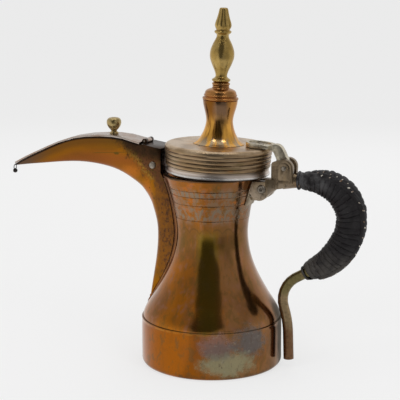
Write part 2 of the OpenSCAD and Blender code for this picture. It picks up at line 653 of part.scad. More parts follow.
module lid_lip() {
    color(tin) on_pot() rotate_extrude($fn = 96) polygon([[collar_r + solder, 0], [lip_r, 0],
        [lip_r, 1], [lip_r - 0.9, 2.2], [lid_wall_r - 0.4, lip_h], [lid_wall_r - 0.4 - lid_sheet, lip_h],
        [lid_wall_r - 1.8, lid_sheet + 0.6], [lid_wall_r - 3, lid_sheet], [collar_r + solder, lid_sheet]]);
}
module lid_collar() {
    color(tin) on_pot() translate([0, 0, -collar_h]) difference() {
        union() {
            cylinder(h = collar_h + lid_sheet + 1, r = collar_r, $fn = 96);
            translate([0, 0, collar_h + lid_sheet + solder]) cylinder(h = 0.9, r = collar_r + 3, $fn = 96);
        }
        translate([0, 0, -1]) cylinder(h = collar_h + 6, r = collar_r - lid_sheet, $fn = 96);
    }
}
// Ribbed wall, top bead and funnel face of the lid, as [radius, height]
rib_pitch = (bead_h - 1.4 - lip_h) / rib_count;
rib_curve = [for (i = [0:rib_count - 1]) for (a = [0:30:150])
    [lid_wall_r + (bead_r - lid_wall_r) * 0.5 * (i + a / 180) / rib_count + 0.75 * sin(a),
        lip_h + solder + rib_pitch * (i + a / 180)]];
bead_curve = [for (a = [-35:17.5:90]) [face_r + 3.6 * cos(a), bead_h + 3.6 * sin(a)]];
face_rise = 0.3;
cap_curve = concat(rib_curve, bead_curve, [[foot_r + 5, face_h], [foot_r - 2, face_h + face_rise],
    [hub_r, face_h + face_rise]]);
module lid_cap() {
    inside = concat([[hub_r, face_h + face_rise - lid_sheet], [face_r - 2, face_h - lid_sheet],
        [face_r, bead_h + 1], [lid_wall_r - 0.2, bead_h - 2.4], [lid_wall_r - lid_sheet, lip_h + solder]]);
    color(copper) on_pot() difference() {
        rotate_extrude($fn = 96) polygon(concat(cap_curve, inside));
        for (x = arm_rivet_x) translate([x, 0, face_h - 6]) cylinder(h = 12, r = rivet_r + 0.05, $fn = 24);
    }
}
foot_base = face_h + face_rise + solder;
column_foot = [[foot_r, foot_base], [foot_r - 0.3, foot_base + 0.5]];
column_top = column_h - 1.2;
column_curve = concat(column_foot,
    arc_of(column_foot[1], [foot_r - 4.5, foot_base + 1.6], [column_r + 1.1, face_h + 8.9],
        [column_r, face_h + 18.5], 8),
    arc_of([column_r, face_h + 18.5], [column_r, face_h + 25], [14.2, column_top - 6],
        [14.4, column_top], 6));
module lid_column() {
    inside = [for (p = back(column_curve)) if (p[1] > foot_base + 2) [p[0] - lid_sheet, p[1]]];
    color(copper) on_pot() rotate_extrude() polygon(concat(column_curve, inside,
        [[hub_r + 3, foot_base + 1.2], [hub_r + 3, foot_base]]));
}
dome_h = 10;
tang_r = 2.5;
module column_dome() {
    base = column_h - 1.1;
    outer = concat([[14.4, 0]], [for (a = [-50:25:75]) [13.7 + 1.2 * cos(a), 1.2 + 1.2 * sin(a)]],
        [[13.4, 3.4]], arc_of([13.5, 4.4], [13.4, 8], [10.6, 9], [7.8, dome_h - 0.4], 5),
        [[7.2, dome_h + 0.3]]);
    inside = [[tang_r + 0.05, dome_h + 0.3], [tang_r + 0.05, dome_h - 0.9], [7, dome_h - 1.6], [11.4, 6],
        [12.4, 2], [12.4, 0]];
    color(copper) on_pot() translate([0, 0, base]) rotate_extrude() polygon(concat(outer, inside));
}
ring_base = column_h - 1.1 + dome_h + 0.4;
ring_h = 4.6;
module column_ring() {
    color(copper) on_pot() translate([0, 0, ring_base]) difference() {
        rotate_extrude() polygon(concat([[0, 0], [6.9, 0]],
            [for (a = [-80:20:80]) [6.4 + 1.1 * cos(a), 2.4 + 1.5 * sin(a)]], [[6.4, ring_h], [0, ring_h]]));
        translate([0, 0, -1]) cylinder(h = ring_h + 2, r = tang_r + 0.05);
    }
}
finial_base = ring_base + ring_h + 0.05;
bud_from = 0.72;
// Half outline of the finial as [share of its largest radius, share of its height]
finial_keys = [[0.66, 0], [0.74, 0.016], [0.74, 0.034], [0.52, 0.062], [0.475, 0.09], [0.56, 0.145],
    [0.78, 0.228], [0.95, 0.305], [1, 0.37], [0.94, 0.44], [0.76, 0.52], [0.56, 0.585], [0.5, 0.615],
    [0.515, 0.64], [0.68, 0.668], [0.67, 0.69], [0.56, 0.7]];
bud_keys = [[0.55, 0.7], [0.69, 0.755], [0.66, 0.8], [0.54, 0.86], [0.44, 0.92], [0.38, 0.97], [0.3, 1]];
module finial() {
    stem = [for (p = smooth(finial_keys, 2)) [p[0] * finial_r, p[1] * finial_h]];
    bud = [for (p = smooth(bud_keys, 2)) [p[0] * finial_r, p[1] * finial_h]];
    color(brass) on_pot() translate([0, 0, finial_base]) difference() {
        union() {
            rotate_extrude($fn = 64) polygon(concat([[0, 0]], stem, bud, [[0, finial_h]]));
            translate([0, 0, -ring_h - 4.2]) cylinder(h = ring_h + 5, r = tang_r, $fn = 48);
        }
        // flutes between the petals of the bud
        for (i = [0:7]) rotate([0, 0, 45 * i]) translate([0.86 * finial_r, 0, bud_from * finial_h])
            rotate([0, -14, 0]) cylinder(h = finial_h / 2, r = 1.9, $fn = 24);
    }
}
module finial_washer() {
    color(tin) on_pot() translate([0, 0, column_h - 1.1 + dome_h - 2.9]) difference() {
        cylinder(h = 1.2, r = 5.4, $fn = 48);
        translate([0, 0, -1]) cylinder(h = 4, r = tang_r + 0.05, $fn = 48);
    }
}

// ---- arm that joins the lid to the hinge ----
tongue_in = 24;
tongue_out = 44.5;
tongue_t = 3;
tongue_z = face_h + face_rise + 0.1;
arm_rivet_x = [tongue_in + 6, tongue_out - 8];
module lid_arm() {
    p = pin_in_lid;
    low = tongue_z;
    high = tongue_z + tongue_t;
    color(brass) on_pot() difference() {
        union() {
            // tongue with round ends and a raised rim
            translate([0, 0, low]) intersection() {
                linear_extrude(height = tongue_t + 1.2) union() {
                    translate([tongue_in + tongue_w, 0]) circle(r = tongue_w);
                    translate([tongue_in + tongue_w, -tongue_w])
                        square([tongue_out - tongue_in - tongue_w + 1, 2 * tongue_w]);
                }
                side_prism([[tongue_in - 1, 0], [tongue_out + 1, 0], [tongue_out + 1, tongue_t - 0.6],
                    [tongue_out - 4, tongue_t + 0.2], [tongue_in - 1, tongue_t + 1.2]], tongue_w + 1);
            }
            // strap bent down to the knuckle
            intersection() {
                side_prism(concat([[tongue_out - 1, low], [p[0] - 13.2, low - 0.5],
                    [p[0] - 10.4, p[1] + 11], [p[0] - 5.2, p[1]], [p[0] + 4.6, p[1] + 2.6],
                    [p[0] - 0.2, p[1] + 9]], arc_of([p[0] - 0.2, p[1] + 9], [p[0] - 3.4, p[1] + 16],
                        [p[0] - 5.6, high + 0.8], [p[0] - 10, high + 0.6], 6),
                    [[tongue_out - 1, high - 0.6]]), tongue_w);
                translate([0, 0, -20]) linear_extrude(height = 80) polygon([[tongue_out - 3, tongue_w],
                    [p[0] - 14, tongue_w - 2], [p[0] - 11.4, knuckle_w / 2],
                    [p[0] + 9, knuckle_w / 2], [p[0] + 9, -knuckle_w / 2], [p[0] - 11.4, -knuckle_w / 2],
                    [p[0] - 14, -tongue_w + 2], [tongue_out - 3, -tongue_w]]);
            }
            along_y(p[0], p[1], knuckle_w, knuckle_r);
        }
        // oval hollow inside the rim
        translate([0, 0, high - 1.1]) linear_extrude(height = 6) union() {
            translate([tongue_in + tongue_w, 0]) circle(r = tongue_w - 2.4);
            translate([tongue_in + tongue_w, -tongue_w + 2.4])
                square([tongue_out - tongue_in - tongue_w - 7, 2 * tongue_w - 4.8]);
            translate([tongue_out - 7, 0]) circle(r = tongue_w - 2.4);
        }
        along_y(p[0], p[1], 40, pin_r + run);
        for (x = arm_rivet_x) translate([x, 0, -5]) cylinder(h = 60, r = rivet_r + 0.05, $fn = 24);
    }
}
module arm_rivets() {
    color(brass) on_pot() for (x = arm_rivet_x) {
        translate([x, 0, face_h - 2]) cylinder(h = tongue_t + 2, r = rivet_r, $fn = 24);
        translate([x, 0, face_h - lid_sheet - 1.1]) cylinder(h = 1, r1 = 1.6, r2 = 2.4, $fn = 24);
        translate([x, 0, tongue_z + tongue_t - 1.05]) cylinder(h = 1.1, r1 = 2.6, r2 = 1.7, $fn = 24);
    }
}

base_pan();
upper_body();
mouth_ring();
spout_shell();
spout_saddle();
heel_cap();
heel_rivets();
flap_pin();
spout_flap();
flap_knob();
nose_ring();
pendant_bead();
neck_lug();
lug_rivets();
handle_casting();
cross_rivet();
lid_hinge_pin();
grip_wrap();
end_bindings();
spine_braid();
lid_lip();
lid_collar();
lid_cap();
lid_column();
column_dome();
column_ring();
finial();
finial_washer();
lid_arm();
arm_rivets();
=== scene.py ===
"""Studio scene of a long-beaked copper coffee pot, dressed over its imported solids.

Lengths are written in millimetres and turned to metres where Blender takes them.
Z is up, the beak points to -X and the handle to +X.
"""

import logging
import math
from dataclasses import dataclass, field
from enum import Enum
from typing import Callable, Sequence

import bmesh
import bpy
from mathutils import Matrix, Vector, noise


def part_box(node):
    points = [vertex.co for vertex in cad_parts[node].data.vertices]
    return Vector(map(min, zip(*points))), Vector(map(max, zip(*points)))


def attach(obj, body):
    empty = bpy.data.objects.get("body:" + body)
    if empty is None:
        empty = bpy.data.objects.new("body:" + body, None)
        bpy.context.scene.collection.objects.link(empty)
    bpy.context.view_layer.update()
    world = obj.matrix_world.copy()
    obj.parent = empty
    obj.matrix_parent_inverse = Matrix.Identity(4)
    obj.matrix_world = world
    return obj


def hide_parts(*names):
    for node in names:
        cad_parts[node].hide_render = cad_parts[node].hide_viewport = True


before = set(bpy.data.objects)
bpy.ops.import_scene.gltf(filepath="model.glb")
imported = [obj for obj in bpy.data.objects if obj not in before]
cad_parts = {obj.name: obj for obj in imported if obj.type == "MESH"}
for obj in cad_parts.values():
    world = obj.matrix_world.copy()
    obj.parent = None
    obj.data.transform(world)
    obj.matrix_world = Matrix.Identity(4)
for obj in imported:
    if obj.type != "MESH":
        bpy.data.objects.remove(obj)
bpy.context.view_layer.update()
MM = 0.001
LOG = logging.getLogger("dallah")
Pair = tuple[float, float]
Triple = tuple[float, float, float]
Object = bpy.types.Object
Socket = bpy.types.NodeSocket
Material = bpy.types.Material


# ---- curves
def bezier(a: Pair, b: Pair, c: Pair, d: Pair, steps: int) -> list[Pair]:
    """Points of a cubic curve, without its first one.

    Args:
        a, b, c, d: The curve's ends and handles.
        steps: Number of points.

    Returns:
        The points after a, up to d.
    """
    points = []
    for i in range(1, steps + 1):
        t = i / steps
        u = 1 - t
        points.append(tuple(u ** 3 * p + 3 * t * u * u * q + 3 * t * t * u * r + t ** 3 * s
                            for p, q, r, s in zip(a, b, c, d)))
    return points


def smooth(keys: Sequence[Sequence[float]], steps: int) -> list[tuple[float, ...]]:
    """A curve through every key, with the same number of steps between two keys.

    Args:
        keys: Points of any number of values.
        steps: Steps from one key to the next.

    Returns:
        The curve's points, the last key included.
    """
    def key(i: int) -> Sequence[float]:
        """The key at i, or the nearest end."""
        return keys[max(0, min(len(keys) - 1, i))]

    points = []
    for i in range(len(keys) - 1):
        for j in range(steps):
            t = j / steps
            points.append(tuple(
                b + t / 2 * (c - a) + t * t * (a - 2.5 * b + 2 * c - 0.5 * d)
                + t ** 3 * (1.5 * (b - c) + (d - a) / 2)
                for a, b, c, d in zip(key(i - 1), key(i), key(i + 1), key(i + 2))))
    return points + [tuple(keys[-1])]


def lookup(x: float, table: Sequence[Pair]) -> float:
    """Straight-line value at x of a table of (x, value) in rising order of x."""
    if x <= table[0][0]:
        return table[0][1]
    for (x0, v0), (x1, v1) in zip(table, table[1:]):
        if x <= x1:
            return v0 + (v1 - v0) * (x - x0) / (x1 - x0) if x1 > x0 else v1
    return table[-1][1]


def sine(degrees: float) -> float:
    """Sine of an angle in degrees."""
    return math.sin(math.radians(degrees))


def cosine(degrees: float) -> float:
    """Cosine of an angle in degrees."""
    return math.cos(math.radians(degrees))


def arc(cx: float, cy: float, r: float, start: float, end: float, steps: int) -> list[Pair]:
    """Points on a round arc between two angles in degrees, both ends included."""
    turns = [start + (end - start) * i / steps for i in range(steps + 1)]
    return [(cx + r * cosine(a), cy + r * sine(a)) for a in turns]


# ---- modelling by operators
class Bench:
    """The modelling moves that every piece is made with."""

    @staticmethod
    def clear() -> None:
        """Leaves edit mode and selects nothing."""
        active = bpy.context.view_layer.objects.active
        if active is not None and active.mode != "OBJECT":
            bpy.ops.object.mode_set(mode="OBJECT")
        bpy.ops.object.select_all(action="DESELECT")

    @staticmethod
    def pick(obj: Object) -> None:
        """Selects one object and makes it active."""
        Bench.clear()
        obj.select_set(True)
        bpy.context.view_layer.objects.active = obj

    @staticmethod
    def edit(obj: Object, mode: str = "VERT") -> None:
        """Enters edit mode on one object with all of it selected."""
        Bench.pick(obj)
        bpy.ops.object.mode_set(mode="EDIT")
        bpy.ops.mesh.select_mode(type=mode)
        bpy.ops.mesh.select_all(action="SELECT")

    @staticmethod
    def done() -> None:
        """Leaves edit mode."""
        bpy.ops.object.mode_set(mode="OBJECT")

    @staticmethod
    def point(name: str, x: float, y: float, z: float) -> Object:
        """Adds a plane at a place and merges it to a single point, left in edit mode."""
        Bench.clear()
        bpy.ops.mesh.primitive_plane_add(size=MM, location=(x * MM, y * MM, z * MM))
        obj = bpy.context.object
        obj.name = name
        bpy.ops.object.transform_apply(location=True, rotation=True, scale=True)
        Bench.edit(obj)
        bpy.ops.mesh.merge(type="CENTER")
        return obj

    @staticmethod
    def draw(points: Sequence[Triple]) -> None:
        """Draws a line on from the selected point through each place in turn."""
        for a, b in zip(points, points[1:]):
            step = tuple((q - p) * MM for p, q in zip(a, b))
            bpy.ops.mesh.extrude_vertices_move(TRANSFORM_OT_translate={"value": step})

    @staticmethod
    def turn(angle: float, axis: str, centre: Triple) -> None:
        """Turns what is selected by the right-hand rule about an axis, in degrees."""
        bpy.ops.transform.rotate(value=-math.radians(angle), orient_axis=axis, orient_type="GLOBAL",
                                 center_override=tuple(c * MM for c in centre))

    @staticmethod
    def scale(factors: Triple, centre: Triple) -> None:
        """Scales what is selected about a place."""
        bpy.ops.transform.resize(value=factors, center_override=tuple(c * MM for c in centre))

    @staticmethod
    def shift(offset: Triple) -> None:
        """Moves what is selected."""
        bpy.ops.transform.translate(value=tuple(c * MM for c in offset))

    @staticmethod
    def outward() -> None:
        """Selects everything and turns the faces outwards."""
        bpy.ops.mesh.select_all(action="SELECT")
        bpy.ops.mesh.normals_make_consistent(inside=False)

    @staticmethod
    def weld(distance: float = 0.002) -> None:
        """Merges points that lie within a distance in millimetres and turns all faces outwards."""
        bpy.ops.mesh.select_all(action="SELECT")
        bpy.ops.mesh.remove_doubles(threshold=distance * MM)
        Bench.outward()

    @staticmethod
    def flip_unless(obj: Object, score: Callable[[bpy.types.MeshPolygon], float]) -> None:
        """Turns an open shell's faces round if their scores add up to less than nothing."""
        if sum(score(face) for face in obj.data.polygons) < 0:
            obj.data.flip_normals()

    @staticmethod
    def modify(obj: Object, kind: str, **settings: object) -> None:
        """Adds a modifier, sets it and applies it."""
        Bench.pick(obj)
        modifier = obj.modifiers.new(kind.title(), kind)
        for name, value in settings.items():
            setattr(modifier, name, value)
        bpy.ops.object.modifier_apply(modifier=modifier.name)

    @staticmethod
    def soften(obj: Object, angle: float = 38.0) -> None:
        """Shades smooth, with edges sharper than an angle kept."""
        Bench.pick(obj)
        bpy.ops.object.shade_smooth_by_angle(angle=math.radians(angle))

    @staticmethod
    def join(name: str, pieces: Sequence[Object]) -> Object:
        """Joins meshes into one object."""
        Bench.pick(pieces[0])
        for piece in pieces[1:]:
            piece.select_set(True)
        bpy.ops.object.join()
        pieces[0].name = name
        return pieces[0]


@dataclass
class Lathe:
    """A turned piece: a profile of (radius, height) spun about the upright axis.

    Attributes:
        name: Name of the piece.
        profile: The outline's points in order.
        steps: Facets round the piece.
        keep: Edges sharper than this many degrees stay crisp.
    """

    name: str
    profile: Sequence[Pair]
    steps: int = 128
    keep: float = 38.0

    def build(self) -> Object:
        """Draws the profile, spins it and closes the seam."""
        line = [(r, 0.0, z) for r, z in self.profile]
        obj = Bench.point(self.name, *line[0])
        Bench.draw(line)
        bpy.ops.mesh.select_all(action="SELECT")
        bpy.ops.mesh.spin(steps=self.steps, angle=math.tau, center=(0, 0, 0), axis=(0, 0, 1))
        Bench.weld()
        Bench.done()
        Bench.soften(obj, self.keep)
        return obj


def smooth_copy(node: str, name: str, bevel: float = 0.0, keep: float = 34.0) -> Object:
    """A merged, smooth-shaded copy of a CAD node, with its sharp edges broken.

    Args:
        node: The CAD node to copy.
        name: Name of the new piece.
        bevel: Width of the broken edges in millimetres, or 0 for none.
        keep: Edges sharper than this many degrees stay crisp.

    Returns:
        The new piece.
    """
    obj = bpy.data.objects.new(name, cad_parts[node].data.copy())
    bpy.context.scene.collection.objects.link(obj)
    obj.data.materials.clear()
    Bench.edit(obj)
    bpy.ops.mesh.remove_doubles(threshold=0.004 * MM)
    bpy.ops.mesh.dissolve_limited(angle_limit=math.radians(0.6))
    Bench.done()
    if bevel > 0:
        Bench.modify(obj, "BEVEL", width=bevel * MM, segments=2, limit_method="ANGLE",
                     angle_limit=math.radians(keep + 6))
    Bench.soften(obj, keep)
    return obj


# ---- shader graphs
def operator(operation: str, flip: bool = False) -> Callable[["Value", "Value | float"], "Value"]:
    """A Python operator on values that adds one Math node.

    Args:
        operation: The node's operation.
        flip: Whether the two terms change places.

    Returns:
        The operator, to be a method of Value.
    """
    def operate(self: "Value", other: "Value | float") -> "Value":
        """Adds the node."""
        return self.graph.maths(operation, *((other, self) if flip else (self, other)))

    return operate


class Value:
    """A number that varies over a surface, for use in Python sums."""

    __add__ = __radd__ = operator("ADD")
    __sub__ = operator("SUBTRACT")
    __rsub__ = operator("SUBTRACT", flip=True)
    __mul__ = __rmul__ = operator("MULTIPLY")
    __truediv__ = operator("DIVIDE")

    def __init__(self, graph: "Graph", socket: Socket) -> None:
        """Wraps the output socket of a node."""
        self.graph = graph
        self.socket = socket

    def fn(self, operation: str, *others: "Value | float") -> "Value":
        """Any other Math operation, such as SQRT or MAXIMUM."""
        return self.graph.maths(operation, self, *others)

    def over(self, low: "Value | float", high: "Value | float") -> "Value":
        """0 below low, 1 above high and a smooth rise between; high may be the lower."""
        return self.graph.value("MapRange", {"Value": self, "From Min": low, "From Max": high},
                                interpolation_type="SMOOTHSTEP")

    def band(self, low: "Value | float", high: "Value | float", soft: float) -> "Value":
        """1 between low and high, with soft edges."""
        return self.over(low - soft, low + soft) * self.over(high + soft, high - soft)


class Graph:
    """A node tree that is built from values and sums of them."""

    def __init__(self, tree: bpy.types.NodeTree) -> None:
        """Takes a tree over and empties it."""
        self.tree = tree
        tree.nodes.clear()

    def put(self, socket: Socket, value: object) -> None:
        """Gives a socket a number or a colour, or links a value or another socket to it."""
        if isinstance(value, Value):
            value = value.socket
        if isinstance(value, Socket):
            self.tree.links.new(value, socket)
        else:
            socket.default_value = (*value, 1) if socket.type == "RGBA" else value

    def node(self, kind: str, inputs: dict | None = None, **settings: object) -> bpy.types.Node:
        """Adds a node.

        Args:
            kind: The node's type, without its family's name.
            inputs: Its sockets by name or number, each a number, colour, link or value.
            settings: Its properties, set first.

        Returns:
            The node.
        """
        node = self.tree.nodes.new(f"ShaderNode{kind}")
        for name, value in settings.items():
            setattr(node, name, value)
        for name, value in (inputs or {}).items():
            self.put(node.inputs[name], value)
        return node

    def value(self, kind: str, inputs: dict | None = None, **settings: object) -> Value:
        """Adds a node and returns its first output as a value."""
        return Value(self, self.node(kind, inputs, **settings).outputs[0])

    def maths(self, operation: str, *terms: Value | float) -> Value:
        """Adds a Math node for one operation."""
        return self.value("Math", dict(enumerate(terms)), operation=operation)

    def vector(self, operation: str, inputs: dict) -> bpy.types.NodeOutputs:
        """Adds a Vector Math node and returns its outputs: the vector, then the number."""
        return self.node("VectorMath", inputs, operation=operation).outputs

    def mix(self, factor: Value | float, a: object, b: object) -> Socket:
        """Mixes two colours, from a to b."""
        return self.node("Mix", {0: factor, 6: a, 7: b}, data_type="RGBA").outputs[2]

    def split(self, vector: Socket) -> tuple[Value, ...]:
        """The three parts of a vector."""
        return tuple(Value(self, part) for part in self.node("SeparateXYZ", {0: vector}).outputs)

    def length(self, east: Value, north: Value) -> Value:
        """Length of a flat vector."""
        return (east * east + north * north).fn("SQRT")


class Skin(Graph):
    """One procedural material on the object's own coordinates, in millimetres.

    Attributes:
        colour: The base colour as laid on so far.
        place, x, y, z: Where a point of the surface lies.
    """

    def __init__(self, name: str) -> None:
        """Makes a material with a Principled shader."""
        self.material = bpy.data.materials.new(name)
        self.material.use_nodes = True
        super().__init__(self.material.node_tree)
        self.shader = self.node("BsdfPrincipled")
        self.node("OutputMaterial", {"Surface": self.shader.outputs[0]})
        place = self.node("TexCoord").outputs["Object"]
        self.place = self.vector("SCALE", {0: place, "Scale": 1 / MM})[0]
        self.x, self.y, self.z = self.split(self.place)
        self.colour: object = (0, 0, 0)

    def tint(self, share: Value | float, tone: object) -> None:
        """Lays a tone over the colour so far, by a share from 0 to 1."""
        self.colour = self.mix(share, self.colour, tone)

    def noise(self, scale: float, detail: float = 3, stretch: Triple = (1, 1, 1), rough: float = 0.5,
              move: Triple = (0, 0, 0)) -> Value:
        """Noise from 0 to 1.

        Args:
            scale: Size of its features in millimetres.
            detail: Octaves.
            stretch: How much longer the features are along each axis.
            rough: Strength of the finer octaves.
            move: Offset of the pattern in millimetres.

        Returns:
            The noise.
        """
        mapped = self.node("Mapping", {"Vector": self.place, "Location": move,
                                       "Scale": tuple(1 / s for s in stretch)}, vector_type="POINT")
        return self.value("TexNoise", {"Vector": mapped.outputs[0], "Scale": 1 / scale, "Detail": detail,
                                       "Roughness": rough})

    def around(self, middle: float, count: float, length: float) -> Value:
        """Noise in streaks that run down and outwards from an upright axis, from 0 to 1.

        Args:
            middle: Place of the axis in x.
            count: How many streaks, roughly, in a third of a turn.
            length: Length of the streaks in millimetres.

        Returns:
            The noise.
        """
        east = self.x - middle
        reach = (east * east + self.y * self.y + 0.01).fn("SQRT")
        ring = self.node("CombineXYZ", {0: east / reach * count, 1: self.y / reach * count,
                                        2: self.z / length})
        return self.value("TexNoise", {"Vector": ring.outputs[0], "Scale": 1.0, "Detail": 4,
                                       "Roughness": 0.6})

    def follow(self, x: Value, points: Sequence[Pair]) -> Value:
        """Height of a drawn line over x.

        Args:
            x: Where the line is read.
            points: The line's points as (x, height), in rising order of x.

        Returns:
            The height, held at the line's ends.
        """
        start, span = points[0][0], points[-1][0] - points[0][0]
        low = min(height for _, height in points)
        rise = max(height for _, height in points) - low
        node = self.node("FloatCurve", {"Factor": 1.0, "Value": (x - start) / span})
        line = node.mapping.curves[0].points
        places = [((px - start) / span, (height - low) / rise) for px, height in points]
        line[0].location, line[1].location = places[0], places[-1]
        for place in places[1:-1]:
            line.new(*place)
        node.mapping.update()
        return Value(self, node.outputs[0]) * rise + low

    def near(self, centre: Triple, size: Triple, soft: float, ragged: Value | float = 0.0) -> Value:
        """1 inside an egg shape about a place, falling to 0 past its edge.

        Args:
            centre: Middle of the egg in millimetres.
            size: Its half lengths.
            soft: Width of the fall, as a share of the half lengths.
            ragged: What is added to the distance, to break up the edge.

        Returns:
            The mask.
        """
        moved = self.vector("SUBTRACT", {0: self.place, 1: centre})[0]
        shrunk = self.vector("DIVIDE", {0: moved, 1: size})[0]
        reach = Value(self, self.vector("LENGTH", {0: shrunk})["Value"])
        return (reach + ragged).over(1 + soft, 1 - soft)

    def across(self, middle: float = 0.0) -> Value:
        """Distance from an upright axis towards the near side of the handle, in millimetres."""
        return (self.x - middle) * 0.94 + self.y * 0.34

    def feed(self, rough: Value | float, metal: Value | float, height: Value, depth: float,
             strength: float = 0.5) -> Material:
        """Joins colour, roughness, metal and relief to the shader.

        Args:
            rough: Roughness.
            metal: 1 for bare metal.
            height: Relief from 0 to 1.
            depth: How deep the relief is, in millimetres.
            strength: How much of the relief shows.

        Returns:
            The material.
        """
        bump = self.node("Bump", {"Height": height, "Distance": depth * MM, "Strength": strength})
        for name, value in (("Base Color", self.colour), ("Roughness", rough), ("Metallic", metal),
                            ("Normal", bump.outputs["Normal"])):
            self.put(self.shader.inputs[name], value)
        return self.material


# ---- finishes
@dataclass(frozen=True)
class BodyCopper:
    """Old polished copper of the pan and the body, with worn tin bands and a patina patch.

    Attributes:
        arches: Number of arches in the lower chased band.
        lap_z: Height of the lap seam between the pan and the body.
        lower, upper: Heights between which the two chased bands lie.
    """

    orange: Triple = (0.385, 0.128, 0.012)
    tan: Triple = (0.31, 0.145, 0.055)
    brown: Triple = (0.22, 0.095, 0.035)
    olive: Triple = (0.15, 0.09, 0.022)
    tin: Triple = (0.27, 0.22, 0.16)
    mauve: Triple = (0.30, 0.17, 0.15)
    ash: Triple = (0.125, 0.115, 0.11)
    khaki: Triple = (0.33, 0.31, 0.175)
    rose: Triple = (0.34, 0.155, 0.095)
    moss: Triple = (0.26, 0.19, 0.02)
    chalk: Triple = (0.42, 0.38, 0.30)
    umber: Triple = (0.10, 0.06, 0.035)
    flush: Triple = (0.48, 0.15, 0.03)
    ember: Triple = (0.33, 0.088, 0.006)
    ochre: Triple = (0.15, 0.085, 0.022)
    painted_sheen: Triple = (0.50, 0.23, 0.035)
    grime: Triple = (0.06, 0.04, 0.015)
    painted_shade: Triple = (0.045, 0.033, 0.011)
    etched: Triple = (0.09, 0.055, 0.025)
    foot: Triple = (0.10, 0.065, 0.03)
    arches: int = 20
    lap_z: float = 40.0
    lower: Pair = (127.5, 139.4)
    upper: Pair = (146.6, 151.5)

    def patina(self, g: Skin) -> Value:
        """Adds the mauve, grey and khaki bloom low on the pan, and says how much of it there is."""
        wide = g.noise(9, 5, (1, 1, 0.8), 0.62) * 1.5 - 0.75
        fine = g.noise(3, 5, (1, 1, 1), 0.7, (4, 1, 6)) * 0.8 - 0.4
        spots = (((22, -55, 29), (13, 15, 10), self.mauve, 0.6),
                 ((46, -37, 31), (13, 15, 12), self.ash, 0.85),
                 ((33, -50, 14), (22, 18, 9.5), self.khaki, 0.8),
                 ((26, -54, 25), (15, 12, 7), self.ash, 0.5))
        bloom = 0.0
        for centre, size, tone, share in spots:
            spot = g.near(centre, size, 0.42, wide * 0.9 + fine * 1.2) * share
            g.tint(spot, tone)
            bloom = spot.fn("MAXIMUM", bloom)
        dark = g.noise(2.2, 5, (1, 1, 1.6), 0.7, (9, 2, 2)).over(0.54, 0.68) * bloom
        pale = g.noise(2.8, 5, (1.6, 1.6, 1), 0.7, (1, 9, 4)).over(0.56, 0.68) * bloom
        g.tint(pale * 0.5, self.chalk)
        g.tint(dark * 0.75, self.umber)
        return bloom

    def ornament(self, g: Skin) -> tuple[Value, Value]:
        """The tinned part of the two chased bands, and the dark swags below them."""
        worn = g.noise(5, 5, (1, 1, 1), 0.7, (7, 3, 1))
        turn = g.y.fn("ARCTAN2", g.x)
        cell = (turn * (self.arches / math.tau)).fn("FRACT") * 2 - 1
        # each arch springs from the band's foot and is nearly as high as the band
        reach = g.length(cell, (g.z - self.lower[0] - 0.2) / 10.5)
        arch = reach.band(0.66, 0.98, 0.07) + reach.over(0.36, 0.28)
        lower = g.z.band(*self.lower, 0.5) * arch
        bead = (turn * (2.5 * self.arches / math.tau)).fn("FRACT") * 2 - 1
        upper = g.z.band(*self.upper, 0.4) * (bead.fn("ABSOLUTE").over(0.85, 0.55) * 0.7 + 0.3)
        tin = (lower + upper).fn("MINIMUM", 1.0) * worn.over(0.36, 0.56)
        haze = g.z.band(124, 154, 3) * worn.over(0.42, 0.58) * 0.6
        sag = (cell * cell) * 4 + g.z
        pendant = sag.band(119.2, 120.4, 0.4) * worn.over(0.36, 0.5)
        return tin.fn("MAXIMUM", haze), pendant

    def paint(self, g: Skin) -> Material:
        """Lays the finish on a skin."""
        cloud = g.noise(24, 4, (1, 1, 2.2))
        streak = g.noise(5, 4, (1, 1, 9), 0.6)
        speck = g.noise(1.6, 5, rough=0.65)
        side = g.across() * 0.03 + g.noise(28, 3, (1, 1, 1.4), 0.5, (3, 8, 5))
        g.colour = g.mix(side.over(0.25, 1.0), self.orange, self.tan)
        g.tint(cloud.over(0.42, 0.68) * 0.8, self.brown)
        g.tint(streak.over(0.50, 0.74) * 0.5, self.olive)
        g.tint(speck.over(0.60, 0.75) * 0.35, self.brown)
        g.tint(g.z.over(108, 124) * 0.3, self.brown)
        g.tint(g.z.band(97, 123, 6) * 0.35, self.olive)
        # blotches and fine drawn streaks that years of rubbing have left
        blot = g.noise(7, 4, (1, 1, 1.5), 0.6, (8, 4, 2))
        thread = g.noise(2.6, 4, (1, 1, 14), 0.6, (2, 6, 6))
        g.tint(blot.over(0.54, 0.66) * 0.45, self.rose)
        g.tint(blot.over(0.46, 0.36) * 0.4, self.olive)
        g.tint(thread.over(0.54, 0.68) * 0.4, self.orange)
        flush = g.noise(8, 4, (1, 1, 0.8), 0.6, (6, 1, 9))
        g.tint(flush.over(0.56, 0.64) * g.z.over(122, 132) * 0.6, self.flush)
        # painted reflection, in an olive tone, down the middle of the near side
        g.tint((g.across() + 2.5).band(-9, 7, 4) * g.z.band(40, 116, 6) * 0.6, self.moss)
        pan = g.z.over(self.lap_z - 0.5, self.lap_z - 1.5)
        g.tint(pan * side.over(0.7, -0.1) * 0.6, self.ember)
        g.tint(pan * blot.over(0.50, 0.62) * 0.5, self.ochre)
        g.tint(g.z.over(5.5, 2.5) * blot.over(0.36, 0.56) * 0.5, self.foot)
        tin, pendant = self.ornament(g)
        g.tint(tin * 0.8, self.tin)
        g.tint(pendant * 0.35, self.etched)
        bloom = self.patina(g)
        # dirt in the lap seam, over a painted highlight where the pan's rolled edge catches the light
        bright = g.z.band(self.lap_z - 2.2, self.lap_z - 1, 0.4) * g.across().over(10, -35)
        g.tint(bright * streak.over(0.40, 0.55) * 0.5, self.painted_sheen)
        g.tint(g.z.band(self.lap_z - 0.3, self.lap_z + 0.2, 0.25) * 0.6, self.grime)
